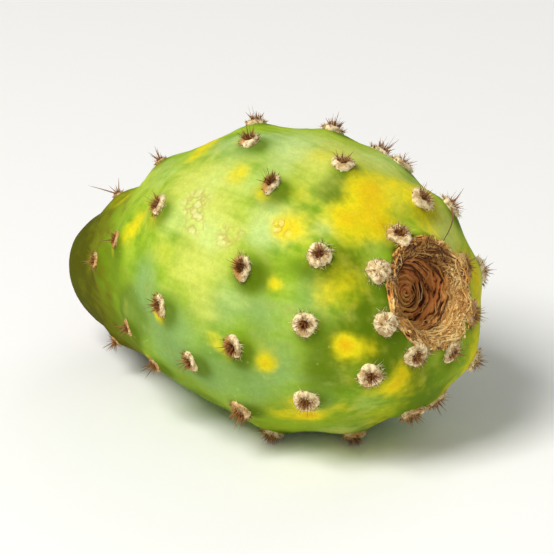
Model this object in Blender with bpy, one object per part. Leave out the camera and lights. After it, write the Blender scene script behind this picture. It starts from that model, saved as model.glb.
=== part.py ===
"""A prickly pear fruit, as picked and lying on its side, in metres with +Z up.

The fruit grew as one piece. Its skin swells into a soft bump under each areole, and an areole is a
small cushion of wool with a few short spines. One end is the dry scar where the fruit was cut from
its pad. The other is the dished scar that the flower left, inside a raised and ragged rim.
"""

import math
import random
from bisect import bisect_right

import bmesh
import bpy
from mathutils import Matrix, Vector

MM = 0.001

# The body is round in section, and its sections lean back from upright as it lies
LENGTH = 75.5 * MM
WIDEST_RADIUS = 25.8 * MM
SECTION_TILT = math.radians(24)
# The middle line bends down from the stem scar to the flower scar, measured square to its sections
STEM_RISE = 4.8 * MM
SCAR_DROP = 9.8 * MM
FLAT_DEPTH = 0.5 * MM
# Outline of the side, as shares of the length and of the widest radius
SIDE_OUTLINE = (
    (0.01, 0.36),
    (0.09, 0.465),
    (0.245, 0.64),
    (0.41, 0.87),
    (0.57, 0.995),
    (0.715, 0.985),
    (0.85, 0.825),
    (0.95, 0.665),
)

# Dry scar at the stem
STEM_RADIUS = 7.6 * MM
STEM_FLOOR_RADIUS = 4.6 * MM
STEM_DISH = 0.8 * MM

# Flower scar: a rim that stands above the skin round a pit
RIM_RADIUS = 8.8 * MM
RIM_WIDTH = 1.6 * MM
RIM_HEIGHT = 1.2 * MM
RIM_RAGGEDNESS = 0.35 * MM
RIM_SHARE = 0.6
PIT_DEPTH = 4.6 * MM
PIT_FLOOR_RADIUS = 4.0 * MM

# Bumps under the areoles, and the slow waves of the skin between them
BUMP_HEIGHT = 1.3 * MM
BUMP_SPREAD = 4.6 * MM
WAVE_HEIGHT = 0.3 * MM

# Areoles: those nearer the stem are smaller
CUSHION_RADIUS = 2.0 * MM
CUSHION_HEIGHT = 0.9 * MM
SMALLEST_SIZE = 0.72
SPINE_RADIUS = 0.2 * MM
SPINE_TIP_RADIUS = 0.02 * MM
SPINE_LENGTH = 2.6 * MM
LONG_SPINE_LENGTH = 4.8 * MM
LONG_SPINE_EVERY = 5
SPINES_EACH = 4
SPINE_LEAN = (18, 48)
CLEAR_OF_GROUND = 0.5 * MM

# Rows of areoles on the near side: the row's azimuth at the stem, how far it leans in degrees a
# millimetre, and where its areoles sit in millimetres of skin from the stem's edge. Azimuth 0 is
# +Y and 90 is up.
NEAR_ROWS = (
    (100, 0.00, (15,)),
    (153, -1.60, (32, 47, 57, 67, 76)),
    (172, -0.80, (20, 31, 45, 65)),
    (142, -0.71, (56, 71)),
    (62, 0.00, (80,)),
    (216, -0.92, (33, 47, 64, 76)),
    (222, -0.58, (15, 37, 50, 60, 73)),
    (216, 0.00, (53, 66, 78)),
    (240, 0.00, (49,)),
    (240, 0.36, (58, 71)),
)
# A ring of areoles at the foot of the flower scar's rim
RIM_AREOLES = 8
RIM_FIRST_AZIMUTH = 100
RIM_DISTANCE = 85
# Rows on the far side and beneath, evenly spread and staggered
FAR_ROWS = 7
FAR_FIRST_AZIMUTH = 262
FAR_AZIMUTH_STEP = 23
FAR_FIRST_DISTANCE = 20
FAR_GAP = 13.5
FAR_LAST_DISTANCE = 80
FAR_STRAY_AZIMUTH = 4
FAR_STRAY_DISTANCE = 1.5
SPACING = 6.0 * MM
# The skin is bare round the spot that the fruit rests on
REST_AZIMUTH = math.radians(270)
REST_DISTANCE = 42 * MM
REST_CLEARANCE = 11 * MM
SEED = 7

# Mesh divisions
AROUND = 52
STEM_RINGS = 3
SIDE_RINGS = 33
SCAR_RINGS = 12


def rounded(points, rounds):
    """The open line through points, with its corners cut off in so many rounds."""
    for _ in range(rounds):
        cut = [points[0]]
        for start, end in zip(points, points[1:]):
            cut += [start.lerp(end, 0.25), start.lerp(end, 0.75)]
        points = cut + [points[-1]]
    return points


class Outline:
    """The turned outline, read by distance along the skin from the middle of the stem scar."""

    def __init__(self):
        stem = [Vector((STEM_DISH, 0)), Vector((STEM_DISH, STEM_FLOOR_RADIUS)), Vector((0, STEM_RADIUS))]
        side = [Vector((along * LENGTH, radius * WIDEST_RADIUS)) for along, radius in SIDE_OUTLINE]
        crest = LENGTH + RIM_HEIGHT
        floor = crest - PIT_DEPTH
        scar = [
            Vector((LENGTH - 0.4 * RIM_HEIGHT, RIM_RADIUS + 1.6 * RIM_WIDTH)),
            Vector((crest, RIM_RADIUS + 0.5 * RIM_WIDTH)),
            Vector((crest, RIM_RADIUS - 0.5 * RIM_WIDTH)),
            Vector((floor, PIT_FLOOR_RADIUS + 0.8 * MM)),
            Vector((floor, 0)),
        ]
        self.points = rounded(stem + side + scar, 4)
        self.distances = [0.0]
        for start, end in zip(self.points, self.points[1:]):
            self.distances.append(self.distances[-1] + (end - start).length)
        self.stem_edge = self.distance_of(lambda point: point.y >= 0.97 * STEM_RADIUS)
        self.rim_foot = self.distance_of(lambda point: point.x >= LENGTH - 0.5 * RIM_HEIGHT)
        self.end = self.distances[-1]

    def distance_of(self, test):
        """The distance of the first point that passes the test."""
        return next(far for far, point in zip(self.distances, self.points) if test(point))

    def at(self, distance):
        """The outline's point as (along, outward)."""
        place = min(max(bisect_right(self.distances, distance), 1), len(self.points) - 1)
        run = self.distances[place] - self.distances[place - 1]
        share = (distance - self.distances[place - 1]) / run
        return self.points[place - 1].lerp(self.points[place], share)


def bare_point(outline, distance, azimuth):
    """A point of the body before its bumps, with the middle line bent."""
    along, outward = outline.at(distance)
    share = max(0, min(along / LENGTH, 1))
    middle = STEM_RISE * (1 - share) ** 3 - SCAR_DROP * share**2
    return Vector((along, outward * math.cos(azimuth), middle + outward * math.sin(azimuth)))


def facing_at(outline, distance, azimuth):
    """The way that the bare skin faces."""
    step, turn = 0.1 * MM, 0.01
    ahead, behind = (bare_point(outline, distance + way * step, azimuth) for way in (1, -1))
    left, right = (bare_point(outline, distance, azimuth + way * turn) for way in (1, -1))
    return (left - right).cross(ahead - behind).normalized()


def unevenness(outline, distance, azimuth):
    """How far the skin strays from a turned shape: nothing at its two ends."""
    share = (distance - outline.stem_edge) / (outline.rim_foot - outline.stem_edge)
    waves = math.cos(2 * azimuth + 0.6) + math.cos(3 * azimuth + 1.9)
    return WAVE_HEIGHT * waves * math.sin(math.pi * max(0, min(share, 1)))


def bump_share(outline, distance):
    """How much of a bump's height the skin takes: all of it on the side, none past the rim's foot."""
    share = max(0, min((outline.rim_foot - distance) / BUMP_SPREAD, 1))
    return share * share * (3 - 2 * share)


class Areole:
    """One areole: where it sits on the fruit, which way it faces and how large it is."""

    def __init__(self, outline, from_stem, azimuth):
        self.azimuth = azimuth
        self.distance = outline.stem_edge + from_stem
        self.facing = facing_at(outline, self.distance, azimuth)
        self.foot = bare_point(outline, self.distance, azimuth)
        self.foot += self.facing * unevenness(outline, self.distance, azimuth)
        self.size = SMALLEST_SIZE + (1 - SMALLEST_SIZE) * min(from_stem / (0.6 * LENGTH), 1)
        self.bump = BUMP_HEIGHT * self.size
        self.top = self.foot + self.facing * self.bump * bump_share(outline, self.distance)


def areole_places(draw):
    """Distance from the stem's edge and azimuth of every areole, the near rows first."""
    for foot, lean, distances in NEAR_ROWS:
        for distance in distances:
            yield distance * MM, math.radians(foot + lean * distance)
    for number in range(RIM_AREOLES):
        azimuth = RIM_FIRST_AZIMUTH + number * 360 / RIM_AREOLES
        yield RIM_DISTANCE * MM, math.radians(azimuth)
    for row in range(FAR_ROWS):
        distance = FAR_FIRST_DISTANCE + (row % 2) * FAR_GAP / 2
        while distance < FAR_LAST_DISTANCE:
            azimuth = FAR_FIRST_AZIMUTH + row * FAR_AZIMUTH_STEP
            azimuth += draw.uniform(-FAR_STRAY_AZIMUTH, FAR_STRAY_AZIMUTH)
            stray = draw.uniform(-FAR_STRAY_DISTANCE, FAR_STRAY_DISTANCE)
            yield (distance + stray) * MM, math.radians(azimuth)
            distance += FAR_GAP


def grow_areoles(outline, draw):
    """The areoles, each clear of the rest spot and of those before it."""
    rest = bare_point(outline, outline.stem_edge + REST_DISTANCE, REST_AZIMUTH)
    areoles = []
    for distance, azimuth in areole_places(draw):
        areole = Areole(outline, distance, azimuth)
        if (areole.foot - rest).length < REST_CLEARANCE:
            continue
        if all((areole.foot - other.foot).length > SPACING for other in areoles):
            areoles.append(areole)
    return areoles


def ring_distances(outline):
    """Distances along the skin for the rings of the body's mesh, closer together at the scar."""
    rings = [outline.stem_edge * step / STEM_RINGS for step in range(STEM_RINGS)]
    side = outline.rim_foot - outline.stem_edge
    rings += [outline.stem_edge + side * step / SIDE_RINGS for step in range(SIDE_RINGS)]
    scar = outline.end - outline.rim_foot
    return rings + [outline.rim_foot + scar * step / SCAR_RINGS for step in range(SCAR_RINGS + 1)]


def skin_point(outline, areoles, distance, azimuth):
    """A point of the bumpy skin."""
    point = bare_point(outline, distance, azimuth)
    if distance < outline.rim_foot:
        outward = facing_at(outline, distance, azimuth)
        point += outward * unevenness(outline, distance, azimuth)
        lift = 0
        for areole in areoles:
            away = (point - areole.foot).length / (BUMP_SPREAD * areole.size)
            lift += areole.bump * math.exp(-away * away)
        return point + outward * lift * bump_share(outline, distance)
    into_scar = (distance - outline.rim_foot) / (outline.end - outline.rim_foot)
    ragged = math.sin(9 * azimuth) + math.sin(14 * azimuth + 2) + math.sin(5 * azimuth + 1)
    crest = math.sin(math.pi * min(into_scar / RIM_SHARE, 1))
    return point + Vector((RIM_RAGGEDNESS * ragged * crest / 2, 0, 0))


def add_object(name, mesh, material, collection):
    """An object for the mesh, with its material, in a collection."""
    mesh.materials.append(material)
    thing = bpy.data.objects.new(name, mesh)
    collection.objects.link(thing)
    return thing


def mesh_of(shape, name):
    """The mesh of a finished bmesh."""
    mesh = bpy.data.meshes.new(name)
    shape.to_mesh(mesh)
    shape.free()
    return mesh


def make_body(outline, areoles):
    """The body's mesh: a sphere whose rings are moved onto the outline, then raised in bumps."""
    distances = ring_distances(outline)
    shape = bmesh.new()
    bmesh.ops.create_uvsphere(shape, u_segments=AROUND, v_segments=len(distances) - 1, radius=1)
    for vert in shape.verts:
        # The sphere's lower pole becomes the middle of the stem scar.
        turn = math.acos(max(-1, min(1, -vert.co.z))) / math.pi
        ring = round(turn * (len(distances) - 1))
        azimuth = math.atan2(vert.co.y, vert.co.x)
        vert.co = skin_point(outline, areoles, distances[ring], azimuth)
    return mesh_of(shape, "prickly_pear")


def spine_directions(areole, draw):
    """Directions fanned out round the way the areole faces, with a seeded unevenness."""
    across = areole.facing.orthogonal().normalized()
    turn = draw.uniform(0, 2 * math.pi)
    for number in range(SPINES_EACH):
        around = turn + 2 * math.pi * number / SPINES_EACH + draw.uniform(-0.3, 0.3)
        side = Matrix.Rotation(around, 3, areole.facing) @ across
        lean = math.radians(draw.uniform(*SPINE_LEAN))
        yield (areole.facing * math.cos(lean) + side * math.sin(lean)).normalized()


def placed(shape, direction, place):
    """Turns and moves every point of the shape, so that its +Z faces a direction at a place."""
    turn = direction.to_track_quat("Z", "Y").to_matrix().to_4x4()
    bmesh.ops.transform(shape, matrix=Matrix.Translation(place) @ turn, verts=shape.verts)


def make_cushion(areole):
    """A low dome of wool, sunk to its middle in the skin."""
    shape = bmesh.new()
    bmesh.ops.create_uvsphere(shape, u_segments=7, v_segments=4, radius=1)
    size = CUSHION_RADIUS * areole.size
    bmesh.ops.scale(shape, vec=(size, size, CUSHION_HEIGHT), verts=shape.verts)
    placed(shape, areole.facing, areole.top)
    return mesh_of(shape, "cushion")


def make_spine(areole, direction, length):
    """A three-sided spine with its root sunk in the cushion."""
    shape = bmesh.new()
    bmesh.ops.create_cone(
        shape,
        cap_ends=True,
        segments=3,
        radius1=SPINE_RADIUS,
        radius2=SPINE_TIP_RADIUS,
        depth=length,
    )
    bmesh.ops.translate(shape, vec=(0, 0, length / 2), verts=shape.verts)
    placed(shape, direction, areole.top)
    return mesh_of(shape, "spine")


def join(body, pieces):
    """Joins every object of a collection to the body, then removes them."""
    union = body.modifiers.new("areoles", "BOOLEAN")
    union.operation = "UNION"
    union.operand_type = "COLLECTION"
    union.collection = pieces
    union.solver = "EXACT"
    bpy.context.view_layer.update()
    graph = bpy.context.evaluated_depsgraph_get()
    joined = bpy.data.meshes.new_from_object(body.evaluated_get(graph))
    body.modifiers.clear()
    body.data = joined
    for piece in list(pieces.objects):
        bpy.data.objects.remove(piece)
    bpy.data.collections.remove(pieces)


def make_material():
    """Waxy green skin, the colour of most of the fruit."""
    material = bpy.data.materials.new("prickly_pear_skin")
    material.use_nodes = True
    shader = material.node_tree.nodes["Principled BSDF"]
    shader.inputs["Base Color"].default_value = (0.33, 0.46, 0.07, 1)
    shader.inputs["Roughness"].default_value = 0.38
    shader.inputs["Metallic"].default_value = 0
    return material


def grow_cushions(areoles, ground, lying, material, pieces, draw):
    """A cushion and its spines on every areole, all of them kept clear of the ground."""

    def clear(point):
        return (lying @ point).z - ground > CLEAR_OF_GROUND

    for number, areole in enumerate(areoles):
        if not clear(areole.top + areole.facing * CUSHION_HEIGHT):
            continue
        add_object("cushion", make_cushion(areole), material, pieces)
        longest = LONG_SPINE_LENGTH if number % LONG_SPINE_EVERY == 0 else SPINE_LENGTH
        for direction in spine_directions(areole, draw):
            length = longest * draw.uniform(0.8, 1.2)
            longest = SPINE_LENGTH
            if clear(areole.top + direction * length):
                add_object("spine", make_spine(areole, direction, length), material, pieces)


def lay_down(body, ground, lying):
    """Lays the fruit on z = 0, with the middle of its box above the origin."""
    body.data.transform(Matrix.Translation((0, 0, -ground)) @ lying)
    across = [vert.co.x for vert in body.data.vertices]
    deep = [vert.co.y for vert in body.data.vertices]
    middle = Vector(((min(across) + max(across)) / 2, (min(deep) + max(deep)) / 2, 0))
    body.data.transform(Matrix.Translation(-middle))
    body.data.shade_smooth()


def cut_rest_spot(body, cutters):
    """Cuts the underside flat at z = 0."""
    bpy.ops.mesh.primitive_cube_add(size=1, location=(0, 0, -LENGTH / 2))
    slab = bpy.context.object
    slab.name = "ground_cutter"
    slab.scale = (2 * LENGTH, 2 * LENGTH, LENGTH)
    slab.hide_render = True
    slab.display_type = "WIRE"
    for collection in slab.users_collection:
        collection.objects.unlink(slab)
    cutters.objects.link(slab)
    cut = body.modifiers.new("rest_spot", "BOOLEAN")
    cut.operation = "DIFFERENCE"
    cut.object = slab
    cut.solver = "EXACT"


def main():
    """Builds the fruit at rest, its flower scar tilted up."""
    for thing in list(bpy.data.objects):
        bpy.data.objects.remove(thing)
    fruit = bpy.data.collections.new("prickly_pear_fruit")
    pieces = bpy.data.collections.new("areoles")
    cutters = bpy.data.collections.new("cutters")
    for collection in (fruit, pieces, cutters):
        bpy.context.scene.collection.children.link(collection)

    draw = random.Random(SEED)
    outline = Outline()
    areoles = grow_areoles(outline, draw)
    material = make_material()
    body = add_object("prickly_pear", make_body(outline, areoles), material, fruit)
    lying = Matrix.Rotation(-SECTION_TILT, 4, "Y")
    ground = min((lying @ vert.co).z for vert in body.data.vertices) + FLAT_DEPTH
    grow_cushions(areoles, ground, lying, material, pieces, draw)
    join(body, pieces)
    lay_down(body, ground, lying)
    cut_rest_spot(body, cutters)


main()
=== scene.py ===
"""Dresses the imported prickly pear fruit: fine skin, flower scar, stem scar, wool, glochids and spines.

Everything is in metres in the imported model's frame, with the fruit lying on z = 0. The skin is
described by two skin coordinates: the distance along it from the middle of the stem scar, and the
azimuth round it, where 0 is +Y and 90 degrees is up. Shapes are worked out on the upright fruit, as
it was before it was turned to lie down, and its length is +X either way.
"""

import logging
import math
import random
from collections.abc import Callable, Iterator, Sequence
from dataclasses import dataclass
from enum import Enum

import bpy
import numpy as np
from mathutils import Matrix, Vector, noise


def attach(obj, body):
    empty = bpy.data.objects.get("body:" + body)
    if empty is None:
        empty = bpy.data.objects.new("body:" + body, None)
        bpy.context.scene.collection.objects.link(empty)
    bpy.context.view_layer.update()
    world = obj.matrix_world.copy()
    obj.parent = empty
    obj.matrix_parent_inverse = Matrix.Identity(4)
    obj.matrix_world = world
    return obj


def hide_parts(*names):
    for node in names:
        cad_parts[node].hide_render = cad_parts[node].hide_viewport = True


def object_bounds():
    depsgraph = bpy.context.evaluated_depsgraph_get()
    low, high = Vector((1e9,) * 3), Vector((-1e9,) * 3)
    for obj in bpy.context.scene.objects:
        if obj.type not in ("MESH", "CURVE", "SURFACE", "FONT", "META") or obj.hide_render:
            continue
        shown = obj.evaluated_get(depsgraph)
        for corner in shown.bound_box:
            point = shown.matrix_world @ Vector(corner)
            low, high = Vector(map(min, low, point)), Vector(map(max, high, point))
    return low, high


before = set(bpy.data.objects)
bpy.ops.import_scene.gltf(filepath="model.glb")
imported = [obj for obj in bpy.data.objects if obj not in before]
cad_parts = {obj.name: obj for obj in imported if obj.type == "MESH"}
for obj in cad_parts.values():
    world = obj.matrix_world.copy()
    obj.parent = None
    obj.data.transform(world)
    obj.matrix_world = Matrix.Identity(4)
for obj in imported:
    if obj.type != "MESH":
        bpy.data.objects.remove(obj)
CAD_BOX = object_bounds()

logging.basicConfig(level=logging.INFO, format="%(message)s")
log = logging.getLogger("prickly_pear")

MM = 0.001
TURN = 2 * math.pi
BODY = "root"
NODE = "prickly_pear"
SEED = 7
Colour = tuple[float, float, float]
Range = tuple[float, float]
Array = np.ndarray
Piece = bpy.types.Object
Material = bpy.types.Material


# Shader arithmetic


class Sock:
    """A shader socket that takes part in Python arithmetic, each operator adding its Math node."""

    def __init__(self, graph: "Graph", socket: bpy.types.NodeSocket) -> None:
        """Wraps one of a graph's output sockets."""
        self.graph = graph
        self.socket = socket

    def _maths(self, operation: str, left: object, right: object) -> "Sock":
        """Adds a Math node."""
        return self.graph.node("ShaderNodeMath", {"operation": operation}, {0: left, 1: right})

    def __add__(self, other: object) -> "Sock":
        """Sum."""
        return self._maths("ADD", self, other)

    def __sub__(self, other: object) -> "Sock":
        """Difference."""
        return self._maths("SUBTRACT", self, other)

    def __rsub__(self, other: object) -> "Sock":
        """Difference from a number in front."""
        return self._maths("SUBTRACT", other, self)

    def __mul__(self, other: object) -> "Sock":
        """Product."""
        return self._maths("MULTIPLY", self, other)

    __radd__ = __add__
    __rmul__ = __mul__

    def step(self, low: float, high: float) -> "Sock":
        """A smooth step from 0 at low to 1 at high."""
        settings = {"interpolation_type": "SMOOTHSTEP"}
        return self.graph.node("ShaderNodeMapRange", settings, {0: self, 1: low, 2: high})


class Graph:
    """A material's node graph with one Principled shader."""

    def __init__(self, name: str) -> None:
        """Starts a material.

        Args:
            name: The material's name.
        """
        self.material = bpy.data.materials.new(name)
        self.material.use_nodes = True
        self.tree = self.material.node_tree
        self.shader = self.tree.nodes["Principled BSDF"]
        self.place = self.node("ShaderNodeTexCoord", {}, {}, "Object")

    def node(self, kind: str, settings: dict, inputs: dict, output: int | str = 0) -> Sock:
        """Adds any node.

        Args:
            kind: The node's type.
            settings: Its properties, set first.
            inputs: Values or sockets by input name or number.
            output: The name or number of the output to use.

        Returns:
            The output socket.
        """
        made = self.tree.nodes.new(kind)
        for name, value in settings.items():
            setattr(made, name, value)
        for name, value in inputs.items():
            if isinstance(value, Sock):
                self.tree.links.new(value.socket, made.inputs[name])
            else:
                made.inputs[name].default_value = value
        return Sock(self, made.outputs[output])

    def attribute(self, name: str) -> Sock:
        """The value of one of the mesh's own attributes."""
        return self.node("ShaderNodeAttribute", {"attribute_name": name}, {}, "Fac")

    def noise(self, scale: float, detail: float = 2, place: Sock | None = None) -> Sock:
        """Noise from -0.5 to 0.5, with a scale in features to the metre, finer layers and a place."""
        inputs = {"Vector": place or self.place, "Scale": scale, "Detail": detail}
        return self.node("ShaderNodeTexNoise", {}, inputs) - 0.5

    def cells(self, scale: float) -> Sock:
        """Distance to the nearest of scattered points, so many to the metre."""
        return self.node("ShaderNodeTexVoronoi", {}, {"Vector": self.place, "Scale": scale})

    def stretched(self, tilt: float, scale: tuple) -> Sock:
        """Object coordinates turned by the fruit's tilt, then scaled."""
        inputs = {"Vector": self.place, "Rotation": (0, tilt, 0), "Scale": scale}
        return self.node("ShaderNodeMapping", {}, inputs)

    def mix(self, share: object, under: object, over: object) -> Sock:
        """Two colours mixed.

        Args:
            share: How much of the second colour shows.
            under: The first colour.
            over: The second colour.

        Returns:
            The mixed colour.
        """
        settings = {"data_type": "RGBA", "clamp_factor": True}
        colours = {
            place: colour if isinstance(colour, Sock) else (*colour, 1)
            for place, colour in ((6, under), (7, over))
        }
        return self.node("ShaderNodeMix", settings, {"Factor": share, **colours}, 2)

    def bump(self, height: Sock, strength: float, depth: float) -> Sock:
        """A normal tipped by a height whose real size is the depth in metres."""
        inputs = {"Height": height, "Strength": strength, "Distance": depth}
        return self.node("ShaderNodeBump", {}, inputs)

    def finish(self, constants: dict, links: dict) -> Material:
        """Fills the shader's sockets.

        Args:
            constants: Values that are the same all over.
            links: Sockets that vary over the surface.

        Returns:
            The finished material.
        """
        for name, value in constants.items():
            self.shader.inputs[name].default_value = value
        for name, value in links.items():
            self.tree.links.new(value.socket, self.shader.inputs[name])
        return self.material


# Meshes


class Picked(Enum):
    """What is picked in edit mode, with the mesh's own word for it."""

    FACE = "polygons"
    EDGE = "edges"


def deselect() -> None:
    """Leaves nothing selected."""
    bpy.ops.object.select_all(action="DESELECT")


def pick(piece: Piece, picked: Picked, wanted: Callable) -> None:
    """Enters edit mode with only what is wanted selected.

    Args:
        piece: The active object.
        picked: Whether faces or edges are picked.
        wanted: Says whether one of them is wanted.
    """
    bpy.ops.object.mode_set(mode="EDIT")
    bpy.ops.mesh.select_mode(type=picked.name)
    bpy.ops.mesh.select_all(action="DESELECT")
    bpy.ops.object.mode_set(mode="OBJECT")
    for item in getattr(piece.data, picked.value):
        item.select = wanted(item)
    bpy.ops.object.mode_set(mode="EDIT")


def read_points(piece: Piece) -> Array:
    """Reads a mesh.

    Args:
        piece: The object.

    Returns:
        Its points as rows.
    """
    points = np.empty(len(piece.data.vertices) * 3)
    piece.data.vertices.foreach_get("co", points)
    return points.reshape(-1, 3)


def write_points(piece: Piece, points: Array) -> None:
    """Moves the piece's points to the rows of an array."""
    piece.data.vertices.foreach_set("co", np.ascontiguousarray(points).ravel())
    piece.data.update()


def write_values(piece: Piece, values: dict[str, Array | float]) -> None:
    """Stores values for each point, which materials read by name.

    Args:
        piece: The object.
        values: The values, or one for all points, by name.
    """
    mesh = piece.data
    for name, value in values.items():
        held = mesh.attributes.get(name) or mesh.attributes.new(name, "FLOAT", "POINT")
        filled = np.broadcast_to(np.asarray(value, dtype=np.float32), len(mesh.vertices))
        held.data.foreach_set("value", np.ascontiguousarray(filled))


def copied(master: Piece, points: Array, values: dict[str, Array | float]) -> Piece:
    """Copies a master.

    Args:
        master: The master.
        points: Where the copy's points go, as rows.
        values: The values that it stores, by name.

    Returns:
        The copy, with its own mesh.
    """
    made = master.copy()
    made.data = master.data.copy()
    bpy.context.collection.objects.link(made)
    write_points(made, points)
    write_values(made, values)
    return made


def smoothed(piece: Piece) -> Piece:
    """Shades a piece smooth.

    Args:
        piece: The piece.

    Returns:
        The same piece.
    """
    deselect()
    piece.select_set(True)
    bpy.ops.object.shade_smooth()
    return piece


def joined(name: str, parts: Sequence[Piece]) -> Piece:
    """Joins objects into one piece.

    Args:
        name: The piece's name.
        parts: The objects, which are used up.

    Returns:
        The piece.
    """
    deselect()
    for part in parts:
        part.select_set(True)
    bpy.context.view_layer.objects.active = parts[0]
    bpy.ops.object.join()
    piece = bpy.context.object
    piece.name = piece.data.name = name
    return piece


def removed(*things: Piece) -> None:
    """Takes master shapes out of the scene."""
    for thing in things:
        bpy.data.objects.remove(thing)


def ringed_ball(name: str, around: int, rings: int, shape: Callable) -> Piece:
    """A sphere whose rings are moved by a function, so that its poles and seam stay closed.

    Args:
        name: The piece's name.
        around: Points in a ring.
        rings: Steps from the lower pole to the upper one.
        shape: Gives the points, and the values that the finish reads, for an array of ring
            numbers and one of azimuths.

    Returns:
        The piece, smooth shaded.
    """
    deselect()
    bpy.ops.mesh.primitive_uv_sphere_add(segments=around, ring_count=rings, radius=1)
    piece = bpy.context.object
    piece.name = piece.data.name = name
    ball = read_points(piece)
    turn = np.arccos(np.clip(-ball[:, 2], -1, 1)) / math.pi
    azimuths = np.arctan2(ball[:, 1], ball[:, 0])
    points, values = shape(np.rint(turn * rings).astype(int), azimuths)
    write_points(piece, points)
    write_values(piece, values)
    return smoothed(piece)


def make_rod(name: str, sides: int, steps: int) -> Piece:
    """A closed rod of unit radius and length, standing on the origin, to be swept along lines.

    Args:
        name: The master's name.
        sides: Sides round it.
        steps: Lengths that it is cut into.

    Returns:
        The master.
    """
    deselect()
    bpy.ops.mesh.primitive_cylinder_add(vertices=sides, radius=1, depth=1, location=(0, 0, 0.5))
    rod = bpy.context.object
    rod.name = name
    bpy.ops.object.transform_apply(location=True, rotation=False, scale=False)
    heights = read_points(rod)[:, 2].tolist()
    pick(rod, Picked.EDGE, lambda edge: heights[edge.vertices[0]] != heights[edge.vertices[1]])
    bpy.ops.mesh.subdivide(number_cuts=steps - 1)
    bpy.ops.object.mode_set(mode="OBJECT")
    return rod


def swept(rod: Piece, line: Callable, up: Array, thick: Callable, values: dict[str, float]) -> Piece:
    """A copy of a rod swept along a line.

    Args:
        rod: The master rod.
        line: Gives points for an array of shares of the length.
        up: Roughly the way that the strand's top faces.
        thick: Gives radii for an array of shares of the length.
        values: The values that it stores, by name. "tip" runs from 0 to 1 along it unless given.

    Returns:
        The strand.
    """
    base = read_points(rod)
    share = base[:, 2]
    ahead = line(share + 0.01) - line(share - 0.01)
    ahead /= np.linalg.norm(ahead, axis=1, keepdims=True)
    top = up - ahead * (ahead @ up)[:, None]
    top /= np.linalg.norm(top, axis=1, keepdims=True) + 1e-12
    side = np.cross(top, ahead)
    radius = thick(share)[:, None]
    points = line(share) + radius * (base[:, :1] * side + base[:, 1:2] * top)
    return copied(rod, points, {"tip": share, **values})


def tapered(root: float, loss: float, power: float = 1) -> Callable:
    """A radius that shrinks from the root to the tip by a share of it, later with a higher power."""
    return lambda share: root * (1 - loss * np.clip(share, 0, 1) ** power)


def roughness_at(points: Array, size: float, layers: int = 3, shift: float = 0) -> Array:
    """Noise from about -1 to 1 at points, by the size and layers of its features, and moved."""
    offset = Vector((shift, 2.3 * shift, -shift))
    return np.array([noise.fractal(Vector(row) / size + offset, 1, 2, layers) for row in points])


def eased(values: Array, low: float, high: float) -> Array:
    """A smooth step from 0 at low to 1 at high."""
    share = np.clip((values - low) / (high - low), 0, 1)
    return share * share * (3 - 2 * share)


def hump(away: Array, width: float, power: float = 2) -> Array:
    """1 at no distance, falling softly to nothing past the width."""
    return np.exp(-((away / width) ** power))


def apart(points: Array, place: Array) -> Array:
    """How far each point is from a place."""
    return np.linalg.norm(points - place, axis=1)


# The fruit's form


class Wool(Enum):
    """How an areole's wool has grown."""

    RING = "ring"
    CLUMP = "clump"


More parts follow.
